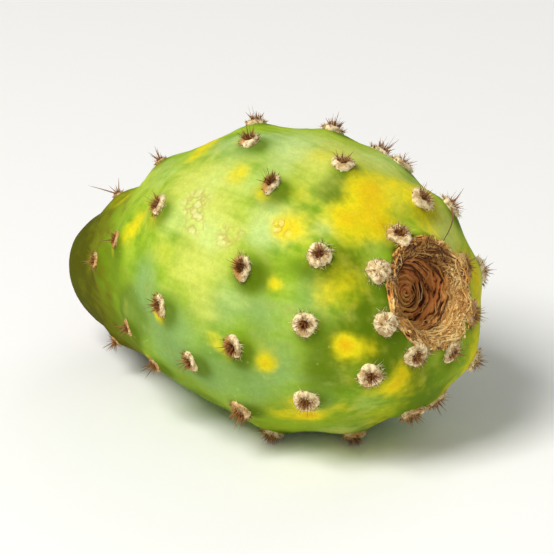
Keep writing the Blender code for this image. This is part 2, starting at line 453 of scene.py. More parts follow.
@dataclass
class FruitForm:
    """The fruit's form, the same as the solid's, in skin coordinates."""

    length: float = 75.5 * MM
    widest_radius: float = 25.8 * MM
    section_tilt: float = math.radians(24)
    stem_rise: float = 4.8 * MM
    scar_drop: float = 9.8 * MM
    # Outline of the side, as shares of the length and of the widest radius
    side_outline: tuple = (
        (0.01, 0.36), (0.09, 0.465), (0.245, 0.64), (0.41, 0.87),
        (0.57, 0.995), (0.715, 0.985), (0.85, 0.825), (0.95, 0.665),
    )
    # How many times the outline's corners are cut to smooth it
    rounds: int = 4
    stem_radius: float = 7.6 * MM
    stem_floor_radius: float = 4.6 * MM
    stem_dish: float = 0.8 * MM
    rim_radius: float = 8.8 * MM
    rim_width: float = 1.6 * MM
    rim_height: float = 1.2 * MM
    rim_raggedness: float = 0.35 * MM
    rim_share: float = 0.6
    pit_depth: float = 4.6 * MM
    pit_floor_radius: float = 4.0 * MM
    pit_corner: float = 0.8 * MM
    bump_height: float = 1.3 * MM
    bump_spread: float = 4.6 * MM
    wave_height: float = 0.3 * MM
    # How far the solid was moved after it was turned to lie down
    shift: tuple = (-37.730 * MM, 0.308 * MM, 7.469 * MM)

    def __post_init__(self) -> None:
        """Works out the outline's line and where along it the stem's edge and the rim's foot lie."""
        crest = self.length + self.rim_height
        floor = crest - self.pit_depth
        stem = [(self.stem_dish, 0), (self.stem_dish, self.stem_floor_radius), (0, self.stem_radius)]
        side = [(along * self.length, out * self.widest_radius) for along, out in self.side_outline]
        scar = [
            (self.length - 0.4 * self.rim_height, self.rim_radius + 1.6 * self.rim_width),
            (crest, self.rim_radius + 0.5 * self.rim_width),
            (crest, self.rim_radius - 0.5 * self.rim_width),
            (floor, self.pit_floor_radius + self.pit_corner),
            (floor, 0),
        ]
        line = np.array(stem + side + scar)
        for _ in range(self.rounds):
            starts, ends = line[:-1], line[1:]
            corners = np.stack((starts * 0.75 + ends * 0.25, starts * 0.25 + ends * 0.75), axis=1)
            line = np.concatenate((line[:1], corners.reshape(-1, 2), line[-1:]))
        self.line = line
        steps = np.linalg.norm(np.diff(line, axis=0), axis=1)
        self.reach = np.concatenate(([0], np.cumsum(steps)))
        self.stem_edge = self.reach[np.argmax(line[:, 1] >= 0.97 * self.stem_radius)]
        self.rim_foot = self.reach[np.argmax(line[:, 0] >= self.length - 0.5 * self.rim_height)]
        self.end = self.reach[-1]
        cos, sin = math.cos(-self.section_tilt), math.sin(-self.section_tilt)
        self.turn = np.array(((cos, 0, sin), (0, 1, 0), (-sin, 0, cos)))

    def at(self, distance: Array) -> tuple[Array, Array]:
        """Reads the outline.

        Args:
            distance: Distances along it.

        Returns:
            How far along the fruit and how far from its middle line its points are.
        """
        place = np.clip(np.searchsorted(self.reach, distance, side="right"), 1, len(self.line) - 1)
        share = (distance - self.reach[place - 1]) / (self.reach[place] - self.reach[place - 1])
        point = self.line[place - 1] * (1 - share)[:, None] + self.line[place] * share[:, None]
        return point[:, 0], point[:, 1]

    def bare(self, distance: Array, azimuth: Array) -> Array:
        """Points of the body before its bumps, with the middle line bent.

        Args:
            distance: Their distances.
            azimuth: Their azimuths.

        Returns:
            The points.
        """
        along, outward = self.at(distance)
        share = np.clip(along / self.length, 0, 1)
        middle = self.stem_rise * (1 - share) ** 3 - self.scar_drop * share**2
        return np.stack((along, outward * np.cos(azimuth), middle + outward * np.sin(azimuth)), axis=1)

    def facing(self, distance: Array, azimuth: Array) -> Array:
        """The way that the bare skin faces.

        Args:
            distance: Distances of its points.
            azimuth: Their azimuths.

        Returns:
            A way of unit length for each point, straight along the fruit at its two poles.
        """
        step, turn = 0.1 * MM, 0.01
        ahead = self.bare(distance + step, azimuth) - self.bare(distance - step, azimuth)
        across = self.bare(distance, azimuth + turn) - self.bare(distance, azimuth - turn)
        out = np.cross(across, ahead)
        size = np.linalg.norm(out, axis=1, keepdims=True)
        pole = np.where(distance < self.length / 2, -1.0, 1.0)[:, None] * np.array((1.0, 0, 0))
        return np.where(size > 1e-12, out / np.maximum(size, 1e-12), pole)

    def waves(self, distance: Array, azimuth: Array) -> Array:
        """How far the skin strays from a turned shape, which is nothing at its two ends.

        Args:
            distance: Distances of its points.
            azimuth: Their azimuths.

        Returns:
            The height for each point.
        """
        share = np.clip((distance - self.stem_edge) / (self.rim_foot - self.stem_edge), 0, 1)
        waves = np.cos(2 * azimuth + 0.6) + np.cos(3 * azimuth + 1.9)
        return self.wave_height * waves * np.sin(math.pi * share)

    def bump_share(self, distance: Array) -> Array:
        """How much of a bump's height the skin takes."""
        return eased((self.rim_foot - distance) / self.bump_spread, 0, 1)

    def ragged(self, distance: Array, azimuth: Array) -> Array:
        """How far the flower scar's rim strays along the fruit.

        Args:
            distance: Distances of its points.
            azimuth: Their azimuths.

        Returns:
            The shift for each point.
        """
        share = np.clip((distance - self.rim_foot) / (self.end - self.rim_foot), 0, None)
        waves = np.sin(9 * azimuth) + np.sin(14 * azimuth + 2) + np.sin(5 * azimuth + 1)
        return self.rim_raggedness * waves * np.sin(math.pi * np.minimum(share / self.rim_share, 1)) / 2

    def laid(self, points: Array) -> Array:
        """Points of the upright fruit, moved to where they are as it lies."""
        return points @ self.turn.T + np.array(self.shift)

    def bowed(self, start: Array, reach: Array, bow: Array) -> Callable:
        """A bowed line on the laid fruit.

        Args:
            start: Where it starts, on the upright fruit.
            reach: The way from there to its end.
            bow: Four times the way from its chord to its middle.

        Returns:
            A function that gives points for an array of shares of the length.
        """

        def line(share: Array) -> Array:
            """Points of the line."""
            share = share[:, None]
            return self.laid(start + reach * share + bow * share * (1 - share))

        return line


@dataclass
class Areole:
    """One areole, on the upright fruit."""

    number: int
    distance: float
    azimuth: float
    foot: Array
    facing: Array
    size: float
    bump: float
    top: Array


@dataclass
class Spine:
    """One spine: where it grows, the way that it points on the upright fruit, and its length."""

    areole: Areole
    direction: Array
    length: float


@dataclass
class Growth:
    """Where areoles and their main spines grow, by the same rule and draws as on the solid."""

    form: FruitForm
    # Rows on the near side: the azimuth at the stem, the lean in degrees a millimetre, and where the
    # areoles sit in millimetres from the stem's edge
    near_rows: tuple = (
        (100, 0.00, (15,)),
        (153, -1.60, (32, 47, 57, 67, 76)),
        (172, -0.80, (20, 31, 45, 65)),
        (142, -0.71, (56, 71)),
        (62, 0.00, (80,)),
        (216, -0.92, (33, 47, 64, 76)),
        (222, -0.58, (15, 37, 50, 60, 73)),
        (216, 0.00, (53, 66, 78)),
        (240, 0.00, (49,)),
        (240, 0.36, (58, 71)),
    )
    rim_areoles: int = 8
    rim_first_azimuth: float = 100
    rim_distance: float = 85
    far_rows: int = 7
    far_first_azimuth: float = 262
    far_azimuth_step: float = 23
    far_first_distance: float = 20
    far_gap: float = 13.5
    far_last_distance: float = 80
    far_stray_azimuth: float = 4
    far_stray_distance: float = 1.5
    spacing: float = 6.0 * MM
    rest_azimuth: float = math.radians(270)
    rest_distance: float = 42 * MM
    rest_clearance: float = 11 * MM
    smallest_size: float = 0.72
    full_size_from: float = 0.6
    cushion_height: float = 0.9 * MM
    spine_length: float = 2.6 * MM
    long_spine_length: float = 4.8 * MM
    long_spine_every: int = 5
    spines_each: int = 4
    spine_lean: Range = (18, 48)
    spine_stray: float = 0.3
    spine_lengths: Range = (0.8, 1.2)
    clear_of_ground: float = 0.5 * MM

    def __post_init__(self) -> None:
        """Grows the areoles, then their main spines."""
        self.draw = random.Random(SEED)
        self.areoles = self.grow()
        self.cushions: list[Areole] = []
        self.spines: list[Spine] = []
        for areole in self.areoles:
            self.grow_spines(areole)

    def places(self) -> Iterator[tuple[float, float]]:
        """Places for areoles, the near rows first.

        Returns:
            The distance from the stem's edge and the azimuth of one after another.
        """
        for foot, lean, distances in self.near_rows:
            for distance in distances:
                yield distance * MM, math.radians(foot + lean * distance)
        for number in range(self.rim_areoles):
            azimuth = self.rim_first_azimuth + number * 360 / self.rim_areoles
            yield self.rim_distance * MM, math.radians(azimuth)
        for row in range(self.far_rows):
            distance = self.far_first_distance + (row % 2) * self.far_gap / 2
            while distance < self.far_last_distance:
                azimuth = self.far_first_azimuth + row * self.far_azimuth_step
                azimuth += self.draw.uniform(-self.far_stray_azimuth, self.far_stray_azimuth)
                stray = self.draw.uniform(-self.far_stray_distance, self.far_stray_distance)
                yield (distance + stray) * MM, math.radians(azimuth)
                distance += self.far_gap

    def sprout(self, number: int, from_stem: float, azimuth: float) -> Areole:
        """One areole.

        Args:
            number: Its place in the order of growth.
            from_stem: Its distance from the stem's edge.
            azimuth: Its azimuth.

        Returns:
            The areole.
        """
        form = self.form
        distance, around = np.array([form.stem_edge + from_stem]), np.array([azimuth])
        facing = form.facing(distance, around)[0]
        foot = form.bare(distance, around)[0] + facing * form.waves(distance, around)[0]
        reach = min(from_stem / (self.full_size_from * form.length), 1)
        size = self.smallest_size + (1 - self.smallest_size) * reach
        bump = form.bump_height * size
        top = foot + facing * bump * form.bump_share(distance)[0]
        return Areole(number, float(distance[0]), azimuth, foot, facing, size, bump, top)

    def grow(self) -> list[Areole]:
        """Grows the areoles.

        Returns:
            The areoles, each clear of the rest spot and of those before it.
        """
        at_rest = np.array([self.form.stem_edge + self.rest_distance])
        rest = self.form.bare(at_rest, np.array([self.rest_azimuth]))[0]
        grown: list[Areole] = []
        for from_stem, azimuth in self.places():
            areole = self.sprout(len(grown), from_stem, azimuth)
            if np.linalg.norm(areole.foot - rest) < self.rest_clearance:
                continue
            if all(np.linalg.norm(areole.foot - other.foot) > self.spacing for other in grown):
                grown.append(areole)
        return grown

    def clear(self, point: Array) -> bool:
        """Whether a point is well above what the fruit lies on."""
        return self.form.laid(point[None])[0, 2] > self.clear_of_ground

    def grow_spines(self, areole: Areole) -> None:
        """Notes the areole's cushion and main spines, all kept clear of the ground.

        Args:
            areole: The areole.
        """
        if not self.clear(areole.top + areole.facing * self.cushion_height):
            return
        self.cushions.append(areole)
        longest = self.spine_length if areole.number % self.long_spine_every else self.long_spine_length
        facing = Vector(areole.facing)
        turn = self.draw.uniform(0, TURN)
        for number in range(self.spines_each):
            around = turn + TURN * number / self.spines_each
            around += self.draw.uniform(-self.spine_stray, self.spine_stray)
            lean = self.draw.uniform(*self.spine_lean)
            direction = leaning(facing, around, lean).normalized()
            length = longest * self.draw.uniform(*self.spine_lengths)
            longest = self.spine_length
            if self.clear(areole.top + np.array(direction) * length):
                self.spines.append(Spine(areole, np.array(direction), length))


def leaning(facing: Vector, around: float, lean: float) -> Vector:
    """A way that leans so many degrees from another, to the side that is around it by an angle."""
    side = Matrix.Rotation(around, 3, facing) @ facing.orthogonal().normalized()
    return facing * math.cos(math.radians(lean)) + side * math.sin(math.radians(lean))


# Finishes


@dataclass(frozen=True)
class SkinFinish:
    """Waxy green skin with a bluish bloom, yellow patches and a few corky scuffs, with painted shade and a
    painted sheen.

    A scale is in features to the metre.
    """

    tilt: float
    leaf: Colour = (0.18, 0.355, 0.010)
    fresh: Colour = (0.44, 0.60, 0.032)
    # Deep green: the skin's own dark tone, also used for painted shade
    deep: Colour = (0.095, 0.160, 0.003)
    bloom: Colour = (0.27, 0.45, 0.135)
    lime: Colour = (0.67, 0.72, 0.130)
    yellow: Colour = (0.88, 0.74, 0.012)
    amber: Colour = (0.84, 0.43, 0.006)
    cork: Colour = (0.50, 0.29, 0.11)
    callus: Colour = (0.92, 0.80, 0.47)
    # Painted sheen: pale mint where soft highlights fall
    mint: Colour = (0.62, 0.79, 0.27)
    # The stem end's colours, darkest at its end: partly its own olive-brown and partly painted shade
    rust_and_shade: Colour = (0.27, 0.235, 0.010)
    stem: Colour = (0.070, 0.070, 0.002)
    speck: Colour = (0.60, 0.72, 0.22)
    broad_scale: float = 70
    patch_scale: float = 150
    cloud_scale: float = 210
    streak_scale: float = 520
    cell_scale: float = 620
    fine_scale: float = 900
    pore_scale: float = 2600
    patch_stretch: tuple = (0.55, 1, 1)
    streak_stretch: tuple = (0.16, 1, 1)
    roughness: float = 0.36
    specular: float = 0.04
    grain_depth: float = 0.14 * MM

    def material(self) -> Material:
        """Makes the material.

        Returns:
            The material.
        """
        g = Graph("prickly_pear_skin")
        broad = g.noise(self.broad_scale, 3)
        cloud = g.noise(self.cloud_scale, 3)
        fine = g.noise(self.fine_scale, 3)
        pores = g.noise(self.pore_scale)
        streak = g.noise(self.streak_scale, 3, g.stretched(self.tilt, self.streak_stretch))
        patch = g.noise(self.patch_scale, 2, g.stretched(self.tilt, self.patch_stretch))
        tone = broad * 0.7 + cloud * 0.6 + streak * 0.6
        colour = g.mix((tone + 0.56).step(0.22, 0.78), self.leaf, self.fresh)
        # Each mask of the mesh is broken up by noise and then shows its colour, one over the other. The
        # deep mask is partly the skin's own dark green and partly painted shade, the mint mask is a
        # painted sheen and the collar mask is painted shade.
        layers = (
            ("deep", patch * 0.9 + cloud * 0.6 + streak * 0.5, 0.05, 1.15, 0.8, self.deep),
            ("bloom", cloud * 0.8 + streak * 0.7, 0.0, 1.2, 0.85, self.bloom),
            ("lime", cloud * 0.8 + streak * 0.6, 0.0, 1.3, 0.9, self.lime),
            ("mint", cloud * 0.8 + streak * 0.8, 0.0, 1.3, 0.85, self.mint),
            # The collar mask is painted shade beside the areoles
            ("collar", fine * 0.5 + streak * 0.4, 0.1, 1.2, 0.8, self.deep),
        )
        shown = {}
        for name, wander, low, high, share, over in layers:
            shown[name] = (g.attribute(name) + wander).step(low, high)
            colour = g.mix(shown[name] * share, colour, over)
        yellow = g.attribute("yellow") + cloud * 0.9 + streak * 0.7 + fine * 0.3
        colour = g.mix(yellow.step(0.05, 1.15) * 0.95, colour, self.yellow)
        colour = g.mix((yellow + patch * 0.9).step(0.8, 2.1) * 0.7, colour, self.amber)
        cells = g.cells(self.cell_scale)
        freckle = (1 - cells.step(0.08, 0.20)) * fine.step(0.0, 0.1)
        colour = g.mix(freckle * 0.25, colour, self.speck)
        # A scuff is pale in the middle of each cell, with a brown outline
        cell = cells + fine * 1.3
        scuff = (g.attribute("scuff") + cloud * 2.2 + fine * 2.0).step(0.45, 1.35)
        colour = g.mix(scuff * (1 - cell.step(0.05, 0.50)) * 0.6, colour, self.callus)
        outline = cell.step(0.30, 0.50) * (1 - cell.step(0.50, 0.75))
        colour = g.mix(scuff * outline * 0.5, colour, self.cork)
        # Darker towards the stem end: partly its own olive-brown, partly painted shade
        stem = g.attribute("stem") + cloud * 0.8 + streak * 1.1 + broad * 0.6
        colour = g.mix(stem.step(0.0, 0.95) * 0.75, colour, self.deep)
        colour = g.mix(stem.step(0.35, 1.2) * 0.6, colour, self.rust_and_shade)
        colour = g.mix(stem.step(0.6, 1.45) * 0.9, colour, self.stem)
        grain = (fine + pores * 0.8 + streak * 0.4 + 0.5).step(0.25, 0.75)
        colour = g.mix((1 - grain) * 0.16, colour, self.deep)
        height = fine * 0.5 + pores * 0.35 + streak * 0.6 - scuff * cell
        roughness = self.roughness + shown["bloom"] * 0.10 + fine * 0.2 + scuff * 0.3
        roughness += stem.step(-0.5, 0.4) * 0.5
        normal = g.bump(height, 0.5, self.grain_depth)
        links = {"Base Color": colour, "Roughness": roughness, "Normal": normal}
        return g.finish({"Specular IOR Level": self.specular}, links)


@dataclass(frozen=True)
class ScarFinish:
    """Dry corky tissue, pale on its ridges and dark in its furrows; the dark in the furrows is painted
    shade.
    """

    name: str
    # dark is painted shade in the furrows and also the colour of random stains
    dark: Colour
    middle: Colour
    pale: Colour
    crust: Colour
    inner: Colour
    stain_scale: float = 420
    inward_scale: float = 500
    crust_scale: float = 900
    ridge_scale: float = 1300
    grain_scale: float = 2400
    roughness: float = 0.82
    specular: float = 0.25
    grain_depth: float = 0.15 * MM

    def material(self) -> Material:
        """Makes the material.

        Returns:
            The material.
        """
        g = Graph(self.name)
        ridge = g.attribute("ridge") + g.noise(self.ridge_scale, 4) * 0.5
        inward = g.attribute("inward") + g.noise(self.inward_scale) * 0.6
        crust = g.attribute("crust") + g.noise(self.crust_scale, 3)
        colour = g.mix(ridge.step(0.45, 0.95), self.middle, self.pale)
        colour = g.mix(inward.step(0.1, 0.9) * 0.65, colour, self.inner)
        colour = g.mix(1 - ridge.step(0.12, 0.45), colour, self.dark)
        colour = g.mix(g.noise(self.stain_scale, 3).step(0.0, 0.25) * 0.35, colour, self.dark)
        colour = g.mix(crust.step(0.35, 0.85) * 0.85, colour, self.crust)
        normal = g.bump(g.noise(self.grain_scale, 3) * 0.6 + ridge * 0.4, 0.6, self.grain_depth)
        constants = {"Roughness": self.roughness, "Specular IOR Level": self.specular}
        return g.finish(constants, {"Base Color": colour, "Normal": normal})


@dataclass(frozen=True)
class WoolFinish:
    """Cream wool flecked with brown, darker towards its heart and tan where it is old, with painted shade:
    paler on its lumps and darker in its grooves.
    """

    # Cream is the darker tone, shown where the wool has painted shade; pale is the lighter one
    cream: Colour = (0.54, 0.37, 0.16)
    pale: Colour = (0.98, 0.84, 0.51)
    tan: Colour = (0.54, 0.26, 0.045)
    heart: Colour = (0.13, 0.036, 0.012)
    age_scale: float = 700
    tuft_scale: float = 1900
    fleck_scale: float = 3000
    hair_scale: float = 3800
    hair_depth: float = 0.1 * MM

    def material(self) -> Material:
        """Makes the material.

        Returns:
            The material.
        """
        g = Graph("areole_wool")
        tuft = g.noise(self.tuft_scale, 4)
        # Painted shade: the wool is paler on its lumps and darker in its grooves
        colour = g.mix((g.attribute("puff") + tuft * 1.3).step(0.05, 0.75), self.cream, self.pale)
        aged = g.attribute("aged") + g.noise(self.age_scale) * 1.2
        colour = g.mix(aged.step(0.2, 1.2) * 0.85, colour, self.tan)
        colour = g.mix(aged.step(1.1, 2.1) * 0.4, colour, self.heart)
        fleck = (g.noise(self.fleck_scale) + aged * 0.08).step(0.10, 0.18)
        colour = g.mix(fleck * 0.75, colour, self.tan)
        inner = g.attribute("heart") + tuft * 0.8
        colour = g.mix(inner.step(0.15, 0.6), colour, self.tan)
        colour = g.mix(inner.step(0.4, 0.85), colour, self.heart)
        normal = g.bump(g.noise(self.hair_scale), 0.6, self.hair_depth)
        constants = {
            "Roughness": 0.9,
            "Specular IOR Level": 0.2,
            "Sheen Weight": 0.2,
            "Sheen Roughness": 0.5,
        }
        return g.finish(constants, {"Base Color": colour, "Normal": normal})


@dataclass(frozen=True)
class BristleFinish:
    """Glochids, spines and dry strands: one colour at the root and another at the tip."""

    name: str
    root: Colour
    middle: Colour
    tip: Colour
    roughness: float
    specular: float = 0.4
    fleck_scale: float = 2200

    def material(self) -> Material:
        """Makes the material.

        Returns:
            The material.
        """
        g = Graph(self.name)
        along = g.attribute("tip")
        shade = g.attribute("shade")
        colour = g.mix(along.step(0.0, 0.6), self.root, self.middle)
        colour = g.mix((along + (shade - 0.5) * 0.8).step(0.5, 1.1), colour, self.tip)
        colour = g.mix((g.noise(self.fleck_scale) + 0.3) * shade * 0.5, colour, self.root)
        constants = {"Roughness": self.roughness, "Specular IOR Level": self.specular}
        return g.finish(constants, {"Base Color": colour})


# Sub-assemblies


@dataclass(frozen=True)
class Patches:
    """Soft patches of one mask, and how many more of them stand by chance on the far side.

    Each has an azimuth in degrees, a distance from the stem's edge and a radius in millimetres, and
    a strength.
    """

    mask: str
    far_count: int
    spots: tuple[tuple[float, ...], ...]


@dataclass
class FruitSkin:
    """The skin, from the stem to the foot of the flower scar, closed beneath both scars."""

    form: FruitForm
    growth: Growth
    around: int = 360
    stem_rings: int = 8
    side_rings: int = 232
    scar_rings: int = 18
    sunk: float = 0.6 * MM
    stem_sunk: Range = (0.55, 0.95)
    pit_sunk: float = 1.5 * MM
    pit_sunk_from: Range = (3.5 * MM, 8 * MM)
    skin_end: Range = (2.5 * MM, 3.4 * MM)
    # Size, layers, shift and height of each set of ripples
    ripples: tuple = ((7 * MM, 3, 0, 0.096 * MM), (2.2 * MM, 2, 5, 0.064 * MM))
    ripple_fade: float = 2 * MM
    # Painted shade beside each areole: a soft collar and a tighter crescent, each shifted to one side of
    # it
    collar_shade_shift: tuple = (1.2 * MM, 0, -1.2 * MM)
    collar_shade_radius: float = 3.3 * MM
    shade_crescent_shift: tuple = (2.0 * MM, 0, -0.5 * MM)
    shade_crescent_radius: float = 1.3 * MM
    shade_crescent_share: float = 0.7
    halo_side: tuple = (-0.7, -0.3, -0.4)
    halo_stray: float = 0.5
    halo_shift: float = 2.2 * MM
    halo_radius: float = 1.9 * MM
    halo_warmth: Range = (-0.4, 1.0)
    old_warmth: float = 0.4
    old_until: float = 70 * MM
    # Painted shade low on the lying fruit: how strong it is, and the heights over which it fades
    under_shade: float = 0.5
    under_shade_heights: Range = (3 * MM, 32 * MM)
    # How far the darkening towards the stem end reaches; it is partly painted shade
    stem_dark_and_shade: float = 1.55
    stem_reach: float = 30 * MM
    stem_reach_side: float = 10 * MM
    stem_side: float = math.radians(195)
    stem_fade: Range = (0.05, 1.05)
    # Azimuths, distances, radii and strengths of the patches on the far side
    far_ranges: tuple = ((-78, 52), (12, 80), (2, 5), (0.6, 1.3))
    patches: tuple[Patches, ...] = (
        Patches("yellow", 15, (
            (99, 78.5, 3.6, 1.1), (118, 77.5, 3, 0.9), (92, 75.5, 3.6, 0.75), (110, 82, 2.6, 0.9),
            (132, 72, 4.4, 0.55), (80, 77, 4, 0.7), (60, 84, 4, 0.6), (244, 77, 4, 0.5),
            (222, 76, 3, 0.4), (256, 58, 5, 0.35), (88, 66, 4, 0.55), (124, 80, 3.6, 0.7),
            (118, 69, 2.4, 0.4), (64, 79, 4.5, 0.6), (354, 80, 3.6, 0.8), (338, 83, 3.2, 0.75),
            (10, 83, 3.4, 0.55), (308, 78.5, 3.4, 0.9), (196, 63.5, 1.9, 1.35), (163, 69, 1.4, 1),
            (185, 56.5, 2.2, 0.8), (224, 58.5, 3, 0.7), (195, 77.5, 2, 1.9), (201, 80.5, 2.1, 0.8),
            (232, 80.5, 2, 1.1), (233, 78, 1.8, 0.8), (228, 62.5, 2.3, 1.7), (230, 68, 2.8, 0.6),
            (266, 65, 4, 0.6), (250, 70, 3, 0.45), (160, 80, 3.4, 0.65), (167, 76.5, 2.8, 0.5),
            (92, 41.5, 2.4, 0.85), (98, 43.5, 2.4, 0.85), (106, 44.5, 2.6, 0.85), (110, 17, 3, 0.8),
            (112, 21, 2.4, 0.6), (140, 37, 2.6, 0.75), (144, 34.5, 2.2, 0.6), (118, 58.5, 2.6, 0.8),
            (152, 15.5, 3.2, 0.7), (136, 69.5, 2.6, 0.9), (150, 49, 4.5, 0.35),
        )),
        Patches("lime", 8, (
            (96, 66, 4.5, 0.8), (84, 79, 3.4, 0.8), (122, 48.5, 6.5, 0.8), (136, 56, 6.5, 0.8),
            (154, 52, 5.5, 0.6), (163, 55.5, 5, 0.75), (146, 60, 5, 0.7), (176, 56.5, 3.4, 0.6),
            (76, 65.5, 6, 0.85), (64, 71.5, 6, 0.85), (46, 82, 5, 0.9), (34, 84, 4.5, 0.9),
            (114, 31.5, 5, 0.6), (340, 78, 5.5, 0.8), (104, 70, 6, 0.6), (124, 54, 6, 0.5),
            (132, 71, 5, 0.6), (256, 58, 5, 0.5),
        )),
        Patches("bloom", 9, (
            (162, 41, 4.5, 0.8), (110, 35.5, 4.5, 0.7), (99, 53, 4.5, 0.9), (92, 58, 4.5, 0.8),
            (98, 64, 3.5, 0.7), (124, 82.5, 3, 0.6), (170, 42.5, 4, 0.8), (182, 48, 5.5, 1.2),
            (172, 59.5, 4, 1), (202, 50.5, 5, 1), (206, 58.5, 4.5, 1), (170, 74.5, 4.5, 0.8),
            (202, 65, 3.5, 0.8), (220, 67, 4, 0.7), (190, 68, 4.5, 0.6), (174, 66, 3.6, 0.8),
            (190, 56, 4, 0.5), (178, 34, 5, 0.3), (112, 56, 6, 0.7), (100, 46, 5, 0.5), (192, 42, 5, 0.8),
        )),
        # Painted sheen: pale mint patches where soft highlights fall
        Patches("mint", 6, (
            (96, 62.5, 3.5, 0.8), (86, 60, 5.5, 0.9), (120, 62, 4, 0.6), (124, 54, 4.5, 0.5),
            (136, 68, 4.5, 1.1), (144, 56, 4, 0.6), (110, 64, 3, 0.6), (98, 52, 4, 0.7),
            (142, 49, 4, 0.7), (130, 75.5, 2.4, 0.9), (143, 66, 2.4, 0.6), (150, 58, 3, 0.4),
            (168, 62, 3.2, 0.5), (116, 40, 4, 0.6), (62, 68, 4.5, 0.7), (40, 84, 4, 0.5),
            (256, 58, 6, 0.8), (236, 72, 4, 0.5),
        )),
        # Dark green patches, partly the skin's own colour and partly painted shade
        Patches("deep", 10, (
            (108, 73.5, 2.8, 1.5), (124, 65.5, 3.6, 0.9), (136, 44, 3, 0.7), (162, 65.5, 3, 0.9),
            (101, 73, 2.6, 0.8), (150, 79, 3.6, 1.1), (110, 86, 3.4, 1), (196, 59.5, 2.2, 0.7),
            (176, 45.5, 2.6, 0.6), (216, 54, 3, 0.7), (206, 72, 5, 1), (212, 81.5, 3.4, 0.9),
            (268, 74, 5, 0.8), (250, 79.5, 4, 0.7), (156, 75.5, 3, 0.8), (30, 88, 3.4, 0.8),
            (170, 85, 3.6, 0.8), (222, 42, 5, 0.6), (186, 82, 4, 0.9), (200, 84, 4, 0.9),
            (226, 86, 4, 0.8), (192, 54, 4, 0.5), (180, 64, 3.4, 0.5), (176, 36, 4, 0.5),
            (160, 30, 4, 0.5), (157, 66.5, 3.4, 0.7), (148, 80, 3.4, 0.5), (152, 73, 3, 0.5),
            (180, 33, 5, 0.9), (174, 49, 4, 0.6), (166, 42, 3.4, 0.4), (190, 48, 4, 0.4),
            (186, 78, 3.4, 0.5), (198, 76, 3, 0.5), (192, 44.5, 4.4, 0.8), (180, 38, 4, 0.5),
            (196, 20, 7, 0.8), (150, 24, 6, 0.4),
        )),
        Patches("scuff", 4, (
            (132, 53, 3.4, 1.1), (142, 53.5, 2.6, 1.5), (146, 60.5, 3, 1.2), (116, 51, 2.6, 0.8),
            (152, 15.5, 3.4, 1.1), (136, 69.3, 2.2, 1.4), (160, 48, 2, 0.6),
        )),
    )

    def build(self) -> Piece:
        """Makes the skin.

        Returns:
            The piece.
        """
        form = self.form
        stem = np.linspace(0, form.stem_edge, self.stem_rings, endpoint=False)
        side = np.linspace(form.stem_edge, form.rim_foot, self.side_rings, endpoint=False)
        scar = np.linspace(form.rim_foot, form.end, self.scar_rings + 1)
        distances = np.concatenate((stem, side, scar))

        def shape(rings: Array, azimuths: Array) -> tuple[Array, dict]:
            """Lays the rings on the skin and works out its masks.

            Args:
                rings: The rings that the points are on.
                azimuths: Their azimuths.

            Returns:
                The laid points, and the values that the finish reads by name.
            """
            along = distances[rings]
            past = along - form.rim_foot
            facing = form.facing(along, azimuths)
            points = form.bare(along, azimuths)
            points += facing * (form.waves(along, azimuths) * (past < 0))[:, None]
            points[:, 0] += form.ragged(along, azimuths)
            lift, masks = self.bumps(points)
            points += facing * (lift * form.bump_share(along))[:, None]
            on_side = eased(along - form.stem_edge, 0, self.ripple_fade)
            on_side *= eased(-past, 0, self.ripple_fade)
            bumpy = points.copy()
            for size, layers, shift, height in self.ripples:
                lift = height * roughness_at(bumpy, size, layers, shift) * on_side
                points += facing * lift[:, None]
            self.paint(masks, points, along, azimuths)
            hidden = 1 - eased(along / form.stem_edge, *self.stem_sunk) + eased(past, *self.skin_end)
            points -= facing * (hidden * self.sunk)[:, None]
            points[:, 0] -= self.pit_sunk * eased(past, *self.pit_sunk_from)
            laid = form.laid(points)
            laid[:, 2] = np.maximum(laid[:, 2], 0)
            return laid, masks

        return ringed_ball("prickly_pear_skin", self.around, len(distances) - 1, shape)

    def bumps(self, points: Array) -> tuple[Array, dict[str, Array]]:
        """The areoles' bumps, with painted shade on one side of each and the yellow halos beside them.

        Args:
            points: Points of the bare skin.

        Returns:
            How far the bumps lift them, and the masks by name.
        """
        form = self.form
        lift, collar, halo = (np.zeros(len(points)) for _ in range(3))
        draw = random.Random(SEED + 1)
        ways = (self.collar_shade_shift, self.shade_crescent_shift, self.halo_side)
        shade, shade_crescent, halo_side = (np.array(way) @ form.turn for way in ways)
        for areole in self.growth.areoles:
            foot, size = areole.foot, areole.size
            lift += areole.bump * hump(apart(points, foot), form.bump_spread * size)
            # Painted shade: a dark collar shifted to one side of the areole, and a tight crescent on its
            # flower side
            collar += hump(apart(points, foot + shade), self.collar_shade_radius * size, 3)
            from_shade_crescent = apart(points, foot + shade_crescent * size)
            collar += self.shade_crescent_share * hump(from_shade_crescent, self.shade_crescent_radius * size)
            stray = [draw.uniform(-self.halo_stray, self.halo_stray) for _ in range(3)]
            side = halo_side + np.array(stray)
            beside = foot + side / np.linalg.norm(side) * self.halo_shift
            warmth = max(0, draw.uniform(*self.halo_warmth))
            warmth += self.old_warmth * (areole.distance < self.old_until)
            halo += warmth * hump(apart(points, beside), self.halo_radius)
        return lift, {"collar": collar, "yellow": halo}

